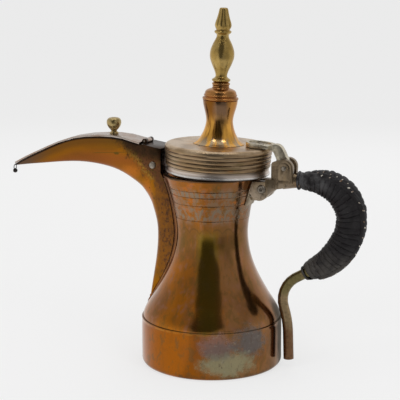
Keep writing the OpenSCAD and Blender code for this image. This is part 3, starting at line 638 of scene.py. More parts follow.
        # painted shade on the side of the pan below the handle
        painted_shade = g.near((58, 10, 30), (9, 13, 42), 0.4, blot * 0.5 + streak * 0.4 - 0.5)
        g.tint(painted_shade * 0.92, self.painted_shade)
        rough = (0.13 + cloud * 0.05 + streak.over(0.5, 0.8) * 0.07 + tin * 0.2 + bloom * 0.3
                 + painted_shade * 0.35)
        dents = g.noise(17, 2, (1, 1, 1.6))
        relief = dents * 0.75 + speck * 0.04 + tin * 0.12 + bloom * speck * 0.2
        return g.feed(rough, 1.0 - bloom * 0.6, relief, 0.5, 0.5)


@dataclass(frozen=True)
class BeakCopper:
    """Polished copper of the beak: golden in the bend, greyer at the tip and stained at the heel."""

    gold: Triple = (0.32, 0.118, 0.006)
    red: Triple = (0.29, 0.088, 0.018)
    olive: Triple = (0.145, 0.068, 0.014)
    tip: Triple = (0.115, 0.070, 0.045)
    plum: Triple = (0.125, 0.052, 0.024)
    moss: Triple = (0.10, 0.068, 0.014)
    straw: Triple = (0.40, 0.22, 0.035)
    ember: Triple = (0.48, 0.15, 0.02)
    bronze: Triple = (0.17, 0.06, 0.012)
    soot: Triple = (0.022, 0.014, 0.010)

    def paint(self, g: Skin) -> Material:
        """Lays the finish on a skin."""
        cloud = g.noise(12, 4, (3, 1, 1))
        fleck = g.noise(3.4, 5, (1.3, 1, 1.3), 0.68)
        grit = g.noise(2.2, 5, (1.1, 1, 1.5), 0.7, (3, 3, 3))
        speck = g.noise(1.3, 5, (1, 1, 1.6), 0.65, (2, 7, 1))
        # depth below the beak's arched upper edge
        rim = g.follow(g.x, [(x, z) for x, z, _ in Beak().top()]) - g.z
        under = rim + cloud * 6 - 3
        g.colour = g.mix(under.over(8, 18), self.gold, self.red)
        g.tint(g.z.over(176, 150) * g.x.over(-100, -80), self.gold)
        # painted shade that darkens the side towards its upper edge
        g.tint(under.over(10.5, 4) * 0.85, self.olive)
        g.tint(cloud.over(0.50, 0.72) * 0.45, self.olive)
        g.tint(g.x.over(-84, -108) * 0.35, self.bronze)
        g.tint((g.x + cloud * 24).over(-132, -166) * 0.9, self.tip)
        # painted highlights near the keel at the bend
        ember = g.near((-69, 0, 161), (9, 22, 5), 0.5, grit - 0.5)
        ember = ember + g.near((-54, 0, 143), (5, 22, 14), 0.5, grit - 0.5)
        g.tint(ember.fn("MINIMUM", 1.0) * 0.75, self.ember)
        # stain from the heel down the inner side, that breaks up in flecks at its slanted edge
        limit = ((179 - g.z) * 1.05 - 75).fn("MINIMUM", -40.5)
        stain = (g.x - limit + g.noise(8, 4, rough=0.6) * 18 - 9 + grit * 30 - 15).over(-5, 7)
        stain = stain * (1 - g.z.over(152, 138) * grit.over(0.58, 0.46) * 0.7)
        tone = g.mix(fleck.over(0.50, 0.62), self.plum, self.moss)
        slant = g.x + (g.z - 170) * 0.9 + 62
        straw = slant.band(-3, 3, 3) * grit.over(0.40, 0.56) * g.z.over(150, 158)
        tone = g.mix(straw * 0.8, tone, self.straw)
        straw = g.noise(4.2, 4, (1, 1, 1.5), 0.6, (5, 5, 5)).over(0.62, 0.72)
        tone = g.mix(straw * 0.5, tone, self.straw)
        tone = g.mix(speck.over(0.50, 0.62) * 0.85, tone, self.soot)
        tone = g.mix(rim.over(15, 5) * g.x.over(-92, -74) * (0.45 + fleck * 0.8), tone, self.soot)
        g.tint(stain * 0.93, tone)
        g.tint(grit.over(0.58, 0.66) * g.z.over(162, 142) * 0.7, self.soot)
        # painted dark reflection of the body on the part of the side nearest to it
        inner = (g.x + grit * 8 - 4).over(-48.5, -44.5) * g.z.over(176, 166) * g.z.over(60, 84)
        g.tint(inner * (0.15 + fleck * 0.7), self.plum)
        # crease along the side, a small blemish, and painted shadow under the flap near the heel
        crease = (g.z - g.x * 0.078 - 182.8 + cloud * 2 - 1).band(-0.35, 0.35, 0.3)
        crease = crease * g.x.band(-104, -72, 4)
        blemish = g.near((-82.5, -9, 175.6), (2.6, 14, 1.2), 0.3, speck - 0.5)
        g.tint((crease * 0.6).fn("MAXIMUM", blemish * 0.8), self.moss)
        flap_shadow = rim.over(2.2, 0.9) * g.x.over(-58, -64)
        g.tint(flap_shadow * 0.92, self.soot)
        rough = 0.14 + cloud * 0.06 + stain * 0.14 + speck.over(0.5, 0.8) * 0.1 + flap_shadow * 0.3
        relief = g.noise(15, 2) * 0.8 + speck * stain * 0.12 - crease * 0.1 - blemish * 0.1
        return g.feed(rough, 1.0, relief, 0.5, 0.5)


@dataclass(frozen=True)
class ColumnCopper:
    """Copper of the lid's column with painted reflections: plum in front over a dark line, brown and orange
    at the sides, and painted gold highlights where it flares.
    """

    orange: Triple = (0.52, 0.235, 0.055)
    brown: Triple = (0.22, 0.085, 0.014)
    plum: Triple = (0.235, 0.135, 0.075)
    gold: Triple = (0.90, 0.46, 0.085)
    dusty: Triple = (0.44, 0.34, 0.22)
    dark: Triple = (0.07, 0.04, 0.02)

    def paint(self, g: Skin) -> Material:
        """Lays the finish on a skin."""
        across = g.across(8) + g.noise(6, 4, (1, 1, 2)) * 5 - 2.5
        flame = g.around(6.3, 3.2, 26)
        speck = g.noise(1.3, 5, rough=0.65)
        height = g.z + flame * 14 - 7
        # painted reflections: brown on the left side, orange on the right
        g.colour = g.mix(across.over(0, 7), self.brown, self.orange)
        # painted reflection in front, plum
        g.tint(across.band(-6, 5, 2.5) * height.over(198, 212), self.plum)
        # painted gold highlights in streaks where the column flares, darker between them
        g.tint(flame.over(0.38, 0.56) * height.over(216, 199) * 0.9, self.gold)
        g.tint(flame.over(0.42, 0.34) * height.over(209, 197) * 0.4, self.brown)
        # painted dark reflection down the middle, low on the column
        g.tint(across.band(-2.6, 1.6, 1.4) * height.band(195, 211, 4) * 0.7, self.dark)
        g.tint(g.z.over(195, 190) * flame.over(0.60, 0.44) * 0.9, self.dusty)
        g.tint(speck.over(0.60, 0.76) * 0.3, self.dark)
        rough = 0.15 + speck.over(0.5, 0.8) * 0.10 + g.z.over(193, 189) * 0.16
        return g.feed(rough, 1.0, g.noise(9, 2) + speck * 0.05, 0.35, 0.5)


@dataclass(frozen=True)
class SheetCopper:
    """Copper sheet that changes from one tone to another up its height.

    Attributes:
        low: Colour below the change.
        high: Colour above it.
        dark: Colour of the stains.
        change: Heights in millimetres between which the tone changes.
        stain: Share of the surface that is stained, 0 to 1.
        rough: Roughness of the clean metal.
        lengthwise: How much longer the stains are along each axis.
    """

    low: Triple
    high: Triple
    dark: Triple
    change: Pair
    stain: float = 0.35
    rough: float = 0.2
    lengthwise: Triple = (4, 1, 1)

    def paint(self, g: Skin) -> Material:
        """Lays the finish on a skin."""
        cloud = g.noise(14, 4, self.lengthwise)
        speck = g.noise(1.4, 5, rough=0.65)
        height = (g.z + cloud * 12 - 6).over(*self.change)
        g.colour = g.mix(height, self.low, self.high)
        g.tint(cloud.over(0.46, 0.72) * self.stain, self.dark)
        g.tint(speck.over(0.58, 0.76) * self.stain, self.dark)
        dents = g.noise(15, 2)
        rough = self.rough + speck.over(0.5, 0.8) * 0.15 + cloud * 0.08
        return g.feed(rough, 1.0, dents * 0.8 + speck * 0.05, 0.6, 0.5)


@dataclass(frozen=True)
class CastMetal:
    """Cast or forged metal: darker and duller in its skin, brighter where it is handled.

    Attributes:
        skin: Main colour.
        worn: Colour of the rubbed places.
        dirt: Colour in the pits.
        rough: Roughness of the skin.
        grain: Size of the skin's grain in millimetres.
        depth: Depth of the grain in millimetres.
        pitting: Share of the dirt that shows in the pits.
    """

    skin: Triple
    worn: Triple
    dirt: Triple
    rough: float = 0.38
    grain: float = 2.4
    depth: float = 0.12
    pitting: float = 0.45

    def paint(self, g: Skin) -> Material:
        """Lays the finish on a skin."""
        cloud = g.noise(9, 4)
        grain = g.noise(self.grain, 5, rough=0.62, move=(5, 1, 8))
        fine = g.noise(0.7, 4, rough=0.6)
        g.colour = g.mix(cloud.over(0.38, 0.66), self.skin, self.worn)
        g.tint(grain.over(0.54, 0.30) * self.pitting, self.dirt)
        rough = self.rough - cloud.over(0.4, 0.7) * 0.1 + grain * 0.12
        return g.feed(rough, 1.0, grain * 0.7 + fine * 0.3, self.depth, 0.6)


@dataclass(frozen=True)
class HandleBronze:
    """Cast bronze of the handle: grey where hands rub the fork, olive and then brown down the tail."""

    grey: Triple = (0.42, 0.335, 0.245)
    drab: Triple = (0.30, 0.225, 0.145)
    olive: Triple = (0.20, 0.165, 0.068)
    tan: Triple = (0.37, 0.265, 0.145)
    umber: Triple = (0.21, 0.11, 0.055)
    rust: Triple = (0.27, 0.15, 0.07)
    pale: Triple = (0.50, 0.41, 0.30)
    dirt: Triple = (0.06, 0.042, 0.026)

    def paint(self, g: Skin) -> Material:
        """Lays the finish on a skin."""
        cloud = g.noise(9, 4)
        grain = g.noise(2.4, 5, rough=0.62, move=(5, 1, 8))
        fine = g.noise(0.7, 4, rough=0.6)
        height = g.z + cloud * 16 - 8
        g.colour = g.mix(height.over(157, 151), self.drab, self.grey)
        g.tint(height.over(110, 90), self.olive)
        g.tint(height.over(72, 60), self.tan)
        g.tint(height.over(42, 30), self.umber)
        g.tint(g.noise(5, 4, (1, 1, 3), 0.6, (7, 7, 7)).over(0.54, 0.68) * 0.5, self.tan)
        g.tint(g.x.over(70, 76) * g.z.band(140, 160, 3) * 0.75, self.rust)
        # painted highlight along the top of the rod by the grip
        g.tint(g.x.over(74, 77) * g.z.over(155, 159) * 0.9, self.pale)
        g.tint(grain.over(0.54, 0.30) * 0.5, self.dirt)
        rough = 0.36 - cloud.over(0.4, 0.7) * 0.1 + grain * 0.12
        return g.feed(rough, 1.0, grain * 0.7 + fine * 0.3, 0.12, 0.6)


@dataclass(frozen=True)
class TinSkin:
    """Worn tin over copper, silvery with warm patches where the copper shows through."""

    silver: Triple = (0.62, 0.56, 0.50)
    rose: Triple = (0.52, 0.36, 0.27)
    grime: Triple = (0.17, 0.14, 0.11)
    rough: float = 0.27

    def paint(self, g: Skin) -> Material:
        """Lays the finish on a skin."""
        cloud = g.noise(8, 4, (2, 2, 1))
        speck = g.noise(1.1, 5, rough=0.65)
        g.colour = g.mix(cloud.over(0.42, 0.62), self.silver, self.rose)
        g.tint(speck.over(0.57, 0.72) * 0.55, self.grime)
        return g.feed(self.rough + cloud * 0.15, 1.0, speck * 0.4 + g.noise(6, 2), 0.25, 0.5)


@dataclass(frozen=True)
class LipTin:
    """Tin of the lid's lip: painted shadow under its edge, a painted highlight on it, rosy above and brown
    where the wall starts.
    """

    bright: Triple = (0.88, 0.84, 0.80)
    rosy: Triple = (0.68, 0.58, 0.51)
    brown: Triple = (0.36, 0.27, 0.18)
    soot: Triple = (0.05, 0.035, 0.025)
    foot_z: float = 163.3

    def paint(self, g: Skin) -> Material:
        """Lays the finish on a skin."""
        cloud = g.noise(7, 4, (2, 2, 0.5))
        speck = g.noise(1.1, 5, rough=0.65)
        height = g.z + (g.x - 5) * 0.0367 - self.foot_z + cloud * 0.8 - 0.4
        # painted highlight along the lip's lower edge, rosy tin above it
        g.colour = g.mix(height.over(1.6, 2.1), self.bright, self.rosy)
        g.tint(height.over(3.7, 4.7) * 0.8, self.brown)
        # painted shadow under the lip's edge
        g.tint(height.over(0.75, 0.4) * 0.85, self.soot)
        g.tint(speck.over(0.57, 0.72) * 0.5, self.soot)
        return g.feed(0.26 + cloud * 0.15, 1.0, speck * 0.4 + g.noise(6, 2), 0.2, 0.5)


@dataclass(frozen=True)
class LidBronze:
    """Brown tarnish of the lid's wall and face, with dark grooves and painted highlights in coppery streaks.
    """

    beige: Triple = (0.60, 0.45, 0.295)
    brown: Triple = (0.29, 0.18, 0.085)
    copper: Triple = (0.48, 0.22, 0.08)
    moss: Triple = (0.16, 0.13, 0.06)
    glow: Triple = (0.60, 0.33, 0.10)
    soot: Triple = (0.045, 0.03, 0.02)
    foot_z: float = 163.3
    first: float = 5.7
    pitch: float = 3.25

    def paint(self, g: Skin) -> Material:
        """Lays the finish on a skin."""
        cloud = g.noise(12, 4, (1.4, 1.4, 0.4))
        streak = g.noise(6, 5, (2.6, 2.6, 0.3), 0.62, (3, 5, 2))
        speck = g.noise(1.3, 5, rough=0.65)
        height = g.z + (g.x - 5) * 0.0367 - self.foot_z
        wall = height.over(22, 20)
        g.colour = g.mix(cloud.over(0.40, 0.66) * 0.7, self.beige, self.brown)
        g.tint(wall * 0.6, self.brown)
        g.tint(streak.over(0.56, 0.70) * (0.2 + wall * 0.45), self.copper)
        g.tint(streak.over(0.44, 0.36) * wall * 0.5, self.moss)
        # painted highlights in coppery streaks that run out from the column's foot
        run = g.length(g.x - 6, g.y).over(33, 20) * g.around(6, 3.2, 26).over(0.42, 0.58)
        g.tint(run * height.over(21, 23) * 0.75, self.glow)
        # dirt that lies unevenly in the grooves between the ribs
        share = ((height - self.first) / self.pitch + 0.5).fn("FRACT") - 0.5
        groove = share.fn("ABSOLUTE").over(0.24, 0.08) * wall * streak.over(0.36, 0.56)
        g.tint(groove * 0.85, self.soot)
        g.tint(speck.over(0.58, 0.74) * 0.5, self.soot)
        rough = 0.27 + cloud * 0.1 + speck.over(0.5, 0.8) * 0.15 + groove * 0.2
        return g.feed(rough, 1.0, speck * 0.25 + g.noise(9, 2) + cloud * 0.4, 0.35, 0.5)


@dataclass(frozen=True)
class WoundLeather:
    """Black waxed leather, with a painted grey sheen towards the grip's upper end and greyer towards its
    lower end.
    """

    black: Triple = (0.010, 0.008, 0.009)
    painted_sheen: Triple = (0.085, 0.083, 0.084)
    dusty: Triple = (0.085, 0.076, 0.066)

    def paint(self, g: Skin) -> Material:
        """Lays the finish on a skin."""
        rub = g.noise(9, 5, rough=0.6)
        grain = g.noise(0.55, 4, rough=0.6)
        crack = g.noise(1.9, 5, rough=0.7, move=(2, 2, 2))
        # painted sheen where the grip's upper end faces the top light
        top = g.x.over(112, 94) * g.z.over(146, 160)
        low = g.z.over(110, 90)
        g.colour = g.mix(rub.over(0.38, 0.66) * (0.12 + top * 0.8), self.black, self.painted_sheen)
        g.tint(low * rub.over(0.26, 0.60) * 0.75, self.dusty)
        g.tint(crack.over(0.60, 0.72) * 0.4, self.dusty)
        g.shader.inputs["Specular IOR Level"].default_value = 0.3
        return g.feed(0.48 + grain * 0.2, 0.0, grain * 0.4 + crack * 0.6, 0.14, 0.7)


@dataclass(frozen=True)
class StitchThread:
    """Pale wire-like stitches that have gone brown in places."""

    pale: Triple = (0.66, 0.62, 0.54)
    brown: Triple = (0.15, 0.08, 0.04)

    def paint(self, g: Skin) -> Material:
        """Lays the finish on a skin."""
        cloud = g.noise(7, 3)
        fine = g.noise(0.5, 3)
        g.colour = g.mix(cloud.over(0.45, 0.62), self.pale, self.brown)
        return g.feed(0.45 + fine * 0.2, 0.2, fine, 0.06, 0.6)


class Finish(Enum):
    """Named finishes of the pot's pieces."""

    BODY = "body_copper"
    BEAK = "beak_copper"
    SADDLE = "saddle_copper"
    MOUTH = "mouth_painted_shade"
    TIN = "tin_skin"
    FLAP = "flap_tin"
    LID = "lid_bronze"
    LIP = "lip_tin"
    COLUMN = "column_copper"
    DOME = "dome_copper"
    FINIAL = "finial_brass"
    KNOB = "knob_brass"
    CASTING = "handle_bronze"
    BRASS = "cast_brass"
    ARM = "arm_brass"
    RIVET = "rivet_grey"
    WIRE = "black_wire"
    LEATHER = "wound_leather"
    THREAD = "stitch_thread"


RECIPES = {
    Finish.BODY: BodyCopper(),
    Finish.BEAK: BeakCopper(),
    Finish.SADDLE: SheetCopper((0.30, 0.13, 0.05), (0.20, 0.10, 0.055), (0.10, 0.055, 0.035),
                               change=(110, 150), stain=0.5, rough=0.32, lengthwise=(1, 1, 2)),
    # the mouth's ring is copper painted dark to stand for the shadow under the lid's lip
    Finish.MOUTH: SheetCopper((0.22, 0.105, 0.045), (0.12, 0.065, 0.03), (0.04, 0.025, 0.015),
                              change=(160, 162), stain=0.5, rough=0.3),
    Finish.TIN: TinSkin(),
    Finish.FLAP: TinSkin((0.52, 0.45, 0.40), (0.46, 0.33, 0.25), (0.14, 0.10, 0.08), 0.25),
    Finish.LID: LidBronze(),
    Finish.LIP: LipTin(),
    Finish.COLUMN: ColumnCopper(),
    Finish.DOME: SheetCopper((0.50, 0.22, 0.065), (0.42, 0.21, 0.07), (0.12, 0.06, 0.03),
                             change=(226, 236), stain=0.4, rough=0.22, lengthwise=(1, 1, 1)),
    Finish.CASTING: HandleBronze(),
    Finish.FINIAL: CastMetal((0.43, 0.28, 0.08), (0.53, 0.365, 0.125), (0.15, 0.10, 0.045),
                             rough=0.23, grain=3.2, depth=0.02, pitting=0.28),
    Finish.KNOB: CastMetal((0.42, 0.31, 0.13), (0.52, 0.40, 0.20), (0.14, 0.09, 0.05),
                           rough=0.24, grain=2.2, depth=0.03, pitting=0.3),
    Finish.BRASS: CastMetal((0.36, 0.285, 0.195), (0.46, 0.375, 0.27), (0.085, 0.06, 0.04)),
    Finish.ARM: CastMetal((0.60, 0.53, 0.40), (0.72, 0.65, 0.50), (0.17, 0.13, 0.08), rough=0.34),
    Finish.RIVET: CastMetal((0.30, 0.26, 0.21), (0.42, 0.37, 0.30), (0.07, 0.055, 0.045),
                            rough=0.36, grain=1.5),
    Finish.WIRE: CastMetal((0.05, 0.045, 0.04), (0.10, 0.085, 0.07), (0.02, 0.018, 0.015),
                           rough=0.5, grain=1.0, depth=0.05),
    Finish.LEATHER: WoundLeather(),
    Finish.THREAD: StitchThread(),
}


@dataclass
class Dresser:
    """Gives each finished piece its material and its body, and hides the nodes that it stands for."""

    made: dict[Finish, Material] = field(default_factory=dict)

    def material(self, finish: Finish) -> Material:
        """The material of a finish, made once."""
        if finish not in self.made:
            self.made[finish] = RECIPES[finish].paint(Skin(finish.value))
        return self.made[finish]

    def dress(self, piece: Object, finish: Finish, body: str,
              nodes: Sequence[str] = ()) -> Object:
        """Finishes one piece.

        Args:
            piece: The modelled piece.
            finish: Its finish.
            body: The body that it rides on.
            nodes: The CAD nodes that it stands for.

        Returns:
            The piece.
        """
        piece.data.materials.clear()
        piece.data.materials.append(self.material(finish))
        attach(piece, body)
        if nodes:
            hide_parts(*nodes)
        LOG.info("%s: %d faces on %s", piece.name, len(piece.data.polygons), body)
        return piece

    def carry(self, node: str, name: str, finish: Finish, body: str,
              bevel: float = 0.0) -> None:
        """Copies one CAD node smoothly, with edges broken by a bevel in millimetres, and finishes it."""
        self.dress(smooth_copy(node, name, bevel), finish, body, [node])


# ---- body of the pot
@dataclass
class Vessel:
    """The base pan, the waisted body and the ring at its mouth.

    Attributes:
        pan_r, pan_h: Radius and height of the pan.
        sheet: Thickness of the copper.
        lap: How deep the body is tucked into the pan.
        line_depth: Depth of the lines cut round the neck.
        waist, rim, flank: Places that the body's outline passes through, as (radius, height).
        lines: Heights of the cut lines.
        slot_w, slot_z: Half width and two ends of the pouring slot behind the beak.
    """

    pan_r: float = 59.5
    pan_h: float = 40.0
    sheet: float = 1.2
    lap: float = 8.0
    line_depth: float = 0.25
    waist: Pair = (30.4, 113.0)
    rim: Pair = (40.5, 160.0)
    flank: Pair = (47.2, 61.5)
    lines: tuple[float, ...] = (126.5, 139.5, 146.5, 151.5)
    slot_w: float = 6.2
    slot_z: Pair = (76.0, 148.0)

    def curve(self) -> list[Pair]:
        """Outline of the upper body from the pan to the rim, as (radius, height)."""
        def along(place: Pair, way: Pair, length: float) -> Pair:
            """The place a length on along a direction."""
            return place[0] + length * way[0], place[1] + length * way[1]

        foot = (self.pan_r - self.sheet - 0.1, self.pan_h)
        flank, waist, rim = self.flank, self.waist, self.rim
        up, inward, outward = (0, 1), (-0.486, 0.874), (0.4512, 0.8924)
        return [foot,
                *bezier(foot, along(foot, up, 6.5), along(flank, inward, -8), flank, 14),
                *bezier(flank, along(flank, inward, 15), along(waist, up, -22), waist, 20),
                *bezier(waist, along(waist, up, 9), along(rim, outward, -12), rim, 20)]

    def radius(self, z: float) -> float:
        """Outer radius of the upper body at a height."""
        return lookup(z, [(p[1], p[0]) for p in self.curve()])

    def cut_lines(self, points: list[Pair]) -> list[Pair]:
        """Adds the fine lines that are cut round the neck to an outline."""
        groove = ((-0.9, 0.0), (-0.4, 0.04), (0.0, -self.line_depth), (0.4, 0.04), (0.9, 0.0))
        marks = [(z + dz, dr) for z in self.lines for dz, dr in groove]
        kept = [p for p in points if all(abs(p[1] - z) > 1.0 for z in self.lines)]
        kept += [(self.radius(z) + dr, z) for z, dr in marks]
        return sorted(kept, key=lambda p: p[1])

    def hammer(self, obj: Object, depth: float, size: float) -> None:
        """Gives a turned piece the soft unevenness of hammered sheet, outwards and inwards."""
        for vertex in obj.data.vertices:
            flat = Vector((vertex.co.x, vertex.co.y, 0))
            if flat.length > 1e-5:
                wave = noise.noise(vertex.co / MM / size)
                vertex.co += flat.normalized() * wave * depth * MM
        obj.data.update()

    def pan(self) -> Object:
        """The flat-bottomed pan with its rounded corner and its rolled upper edge."""
        r, h, s = self.pan_r, self.pan_h, self.sheet
        outer = [(0, 0), (20, 0), (40, 0), *arc(r - 4, 4, 4, -90, 0, 7), (r, 10), (r, 18),
                 (r - 0.05, 25), (r - 0.15, 32), (r - 0.3, 36), (r - 0.35, h - 1.4), (r - 0.1, h - 0.9),
                 (r - 0.15, h - 0.3), (r - 0.6, h), (r - s - 0.05, h - 0.1)]
        inner = [(r - s - 0.05, 4.4), *arc(r - 4, 4, 4 - s, 0, -90, 5), (40, s), (20, s), (0, s)]
        obj = Lathe("pan", outer + inner, 160).build()
        self.hammer(obj, 0.16, 21)
        return obj

    def upper(self) -> Object:
        """The waisted upper body, tucked into the pan, with the pouring slot behind the beak."""
        skirt = [(self.pan_r - self.sheet - 0.15, self.pan_h - self.lap)]
        obj = Lathe("body", skirt + self.cut_lines(self.curve()), 160).build()
        Bench.edit(obj, "FACE")
        bpy.ops.mesh.select_all(action="DESELECT")
        mesh = bmesh.from_edit_mesh(obj.data)
        for face in mesh.faces:
            c = face.calc_center_median() / MM
            face.select = c.x < 0 and abs(c.y) < self.slot_w and self.slot_z[0] < c.z < self.slot_z[1]
        bmesh.update_edit_mesh(obj.data)
        bpy.ops.mesh.delete(type="FACE")
        Bench.outward()
        Bench.done()
        Bench.flip_unless(obj, lambda face: face.normal.dot(Vector((face.center.x, face.center.y, 0))))
        self.hammer(obj, 0.2, 24)
        Bench.modify(obj, "SOLIDIFY", thickness=self.sheet * MM, offset=-1)
        Bench.soften(obj, 50)
        return obj

    def build(self, dresser: Dresser) -> None:
        """Makes and dresses the pieces."""
        dresser.dress(self.pan(), Finish.BODY, "pot", ["base_pan"])
        dresser.dress(self.upper(), Finish.BODY, "pot", ["upper_body"])
        dresser.carry("mouth_ring", "mouth_rim", Finish.MOUTH, "pot")


# ---- beak
@dataclass
class Beak:
    """The folded copper beak, its saddle, heel, flap, knob and nose drop.

    Attributes:
        nose: Tip of the beak, as (x, z).
        arch_z: Height of its upper edge at the top of the arch.
        rear_x: Rear face of the heel.
        heel_w: Half width at the heel.
        seat_z: Height at which the lid is seated.
        wall: Thickness of the sheet.
        foot_off: How far the foot's edge stands off the body's surface.
        steps: Stations from one key of an edge to the next.
        half: Points across one side of the fold.
        power: How square the fold is; 1 would be round.
        knob_x: Place of the knob on the flap.
        vessel: The body on which the beak is seated.
    """

    nose: Pair = (-184.5, 158.6)
    arch_z: float = 189.0
    rear_x: float = -41.4
    heel_w: float = 14.0
    seat_z: float = 161.6
    wall: float = 1.0
    foot_off: float = 1.65
    steps: int = 6
    half: int = 10
    power: float = 2 / 2.6
    knob_x: float = -88.7
    vessel: Vessel = field(default_factory=Vessel)

    def keel(self) -> list[Pair]:
        """Lower edge from the nose to the foot."""
        keys = [(self.nose[0], self.nose[1] - 0.4), (-162, 161.2), (-121, 165.2), (-88.3, 161.3),
                (-66, 150.2), (-57, 141), (-51.5, 131), (-47.6, 116), (-47.5, 104), (-49, 89), (-51.6, 74),
                (-54.4, 59), (-56.2, 49)]
        return smooth(keys, self.steps)

    def top(self) -> list[Triple]:
        """Upper edge from the nose to the heel, as (x, z, half the width)."""
        keys = [(self.nose[0] + 0.3, self.nose[1] + 1, 0.9), (-164, 169.6, 3.6),
                (-125, self.arch_z - 3.6, 7.4), (-86, self.arch_z, 10.2), (-61, 184.6, 12.4),
                (self.rear_x, 181, self.heel_w)]
        return smooth(keys, self.steps)

    def edge(self) -> list[Triple]:
        """The whole free edge: along the top, down the heel and down the foot on the body."""
        low = (self.rear_x, self.seat_z + 1.4, self.heel_w)
        top = self.top()
        upright = [tuple(a + (b - a) * i / self.steps for a, b in zip(top[-1], low))
                   for i in range(1, self.steps + 1)]
        keys = [(159, self.heel_w + 0.6), (144, self.heel_w), (121, 12.6), (98.5, 11), (79, 8.2), (61, 4.6),
                (50.4, 1.6)]
        foot = [(-math.sqrt((self.vessel.radius(z) + self.foot_off) ** 2 - w * w), z, w)
                for z, w in smooth(keys, self.steps)]
        return top + upright + foot

    def shell(self) -> Object:
        """The beak's sheet, drawn as one bent row that is extruded from station to station."""
        keel, edge = self.keel(), self.edge()
        row = []
        for j in range(-self.half, self.half + 1):
            a = math.radians(90 * j / self.half)
            side = math.copysign(abs(math.sin(a)) ** self.power, a)
            row.append((side, 1 - abs(math.cos(a)) ** self.power))
        count = min(len(keel), len(edge))
        spans = []
        for k, e in zip(keel[:count], edge[:count]):
            dx, dz = e[0] - k[0], e[1] - k[1]
            spans.append((k, math.degrees(math.atan2(dx, dz)), e[2], math.hypot(dx, dz)))
        (kx, kz), lean, width, tall = spans[0]
        line = [(kx, y * width, kz + h * tall) for y, h in row]
        obj = Bench.point("beak", *line[0])
        Bench.draw(line)
        bpy.ops.mesh.select_all(action="SELECT")
        Bench.turn(lean, "Y", (kx, 0, kz))
        for (k0, a0, w0, t0), (k1, a1, w1, t1) in zip(spans, spans[1:]):
            bpy.ops.mesh.extrude_edges_move()
            centre = (k0[0], 0, k0[1])
            Bench.turn(-a0, "Y", centre)
            Bench.scale((1, w1 / w0, t1 / t0), centre)
            Bench.turn(a1, "Y", centre)
            Bench.shift((k1[0] - k0[0], 0, k1[1] - k0[1]))
        Bench.outward()
        Bench.done()
        # the keel's faces look down
        Bench.flip_unless(obj, lambda face: -face.normal.z * (
            abs(face.center.y) < 2 * MM and -150 * MM < face.center.x < -80 * MM))
        # the sheet thins towards the nose
        group = obj.vertex_groups.new(name="wall")
        for vertex in obj.data.vertices:
            reach = (vertex.co.x / MM - self.nose[0]) / 12
            group.add([vertex.index], max(0.3, min(1.0, reach)), "REPLACE")
        Bench.modify(obj, "SOLIDIFY", thickness=self.wall * MM, offset=-1, vertex_group="wall")
        Bench.soften(obj, 50)
        return obj

    def knob(self) -> Object:
        """The turned knob on the flap, with its foot ring, neck and tang."""
        low, high = (corner[2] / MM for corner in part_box("flap_knob")[:2])
        base = high - 13.95
        profile = [(0, low + 0.2), (1.6, low + 0.2), (2.2, low + 0.5), (2.2, low + 0.9), (1.2, low + 1.0),
                   (1.2, base), (3.4, base), (3.75, base + 0.2), (3.9, base + 0.8), (3.7, base + 1.35),
                   (3.2, base + 1.7), (2.5, base + 2.05), (2.4, base + 2.6)]
        apple = [(2.7, 3.2), (3.6, 4.2), (4.9, 5.8), (5.9, 7.8), (6.25, 9.8), (6.0, 11.6), (5.1, 13.0),
                 (3.7, 13.8), (2.4, 13.95), (1.3, 13.6), (0, 13.4)]
        profile += [(r, base + z) for r, z in smooth(apple, 4)]
        obj = Lathe("flap_button", profile, 64, 42).build()
        Bench.edit(obj)
        Bench.shift((self.knob_x, 0, 0))
        Bench.done()
        return obj

    def build(self, dresser: Dresser) -> None:
        """Makes and dresses the pieces."""
        dresser.dress(self.shell(), Finish.BEAK, "pot", ["spout_shell"])
        dresser.carry("spout_saddle", "beak_saddle", Finish.SADDLE, "pot")
        dresser.carry("heel_cap", "beak_heel", Finish.BEAK, "pot", 0.3)
        dresser.carry("heel_rivets", "heel_studs", Finish.RIVET, "pot", 0.2)
        dresser.carry("flap_pin", "flap_pivot", Finish.RIVET, "pot", 0.15)
        dresser.carry("spout_flap", "beak_flap", Finish.FLAP, "beak_flap", 0.35)
        dresser.dress(self.knob(), Finish.KNOB, "beak_flap", ["flap_knob"])
        dresser.carry("nose_ring", "nose_hoop", Finish.WIRE, "nose_drop")
        dresser.carry("pendant_bead", "nose_bead", Finish.WIRE, "nose_drop")


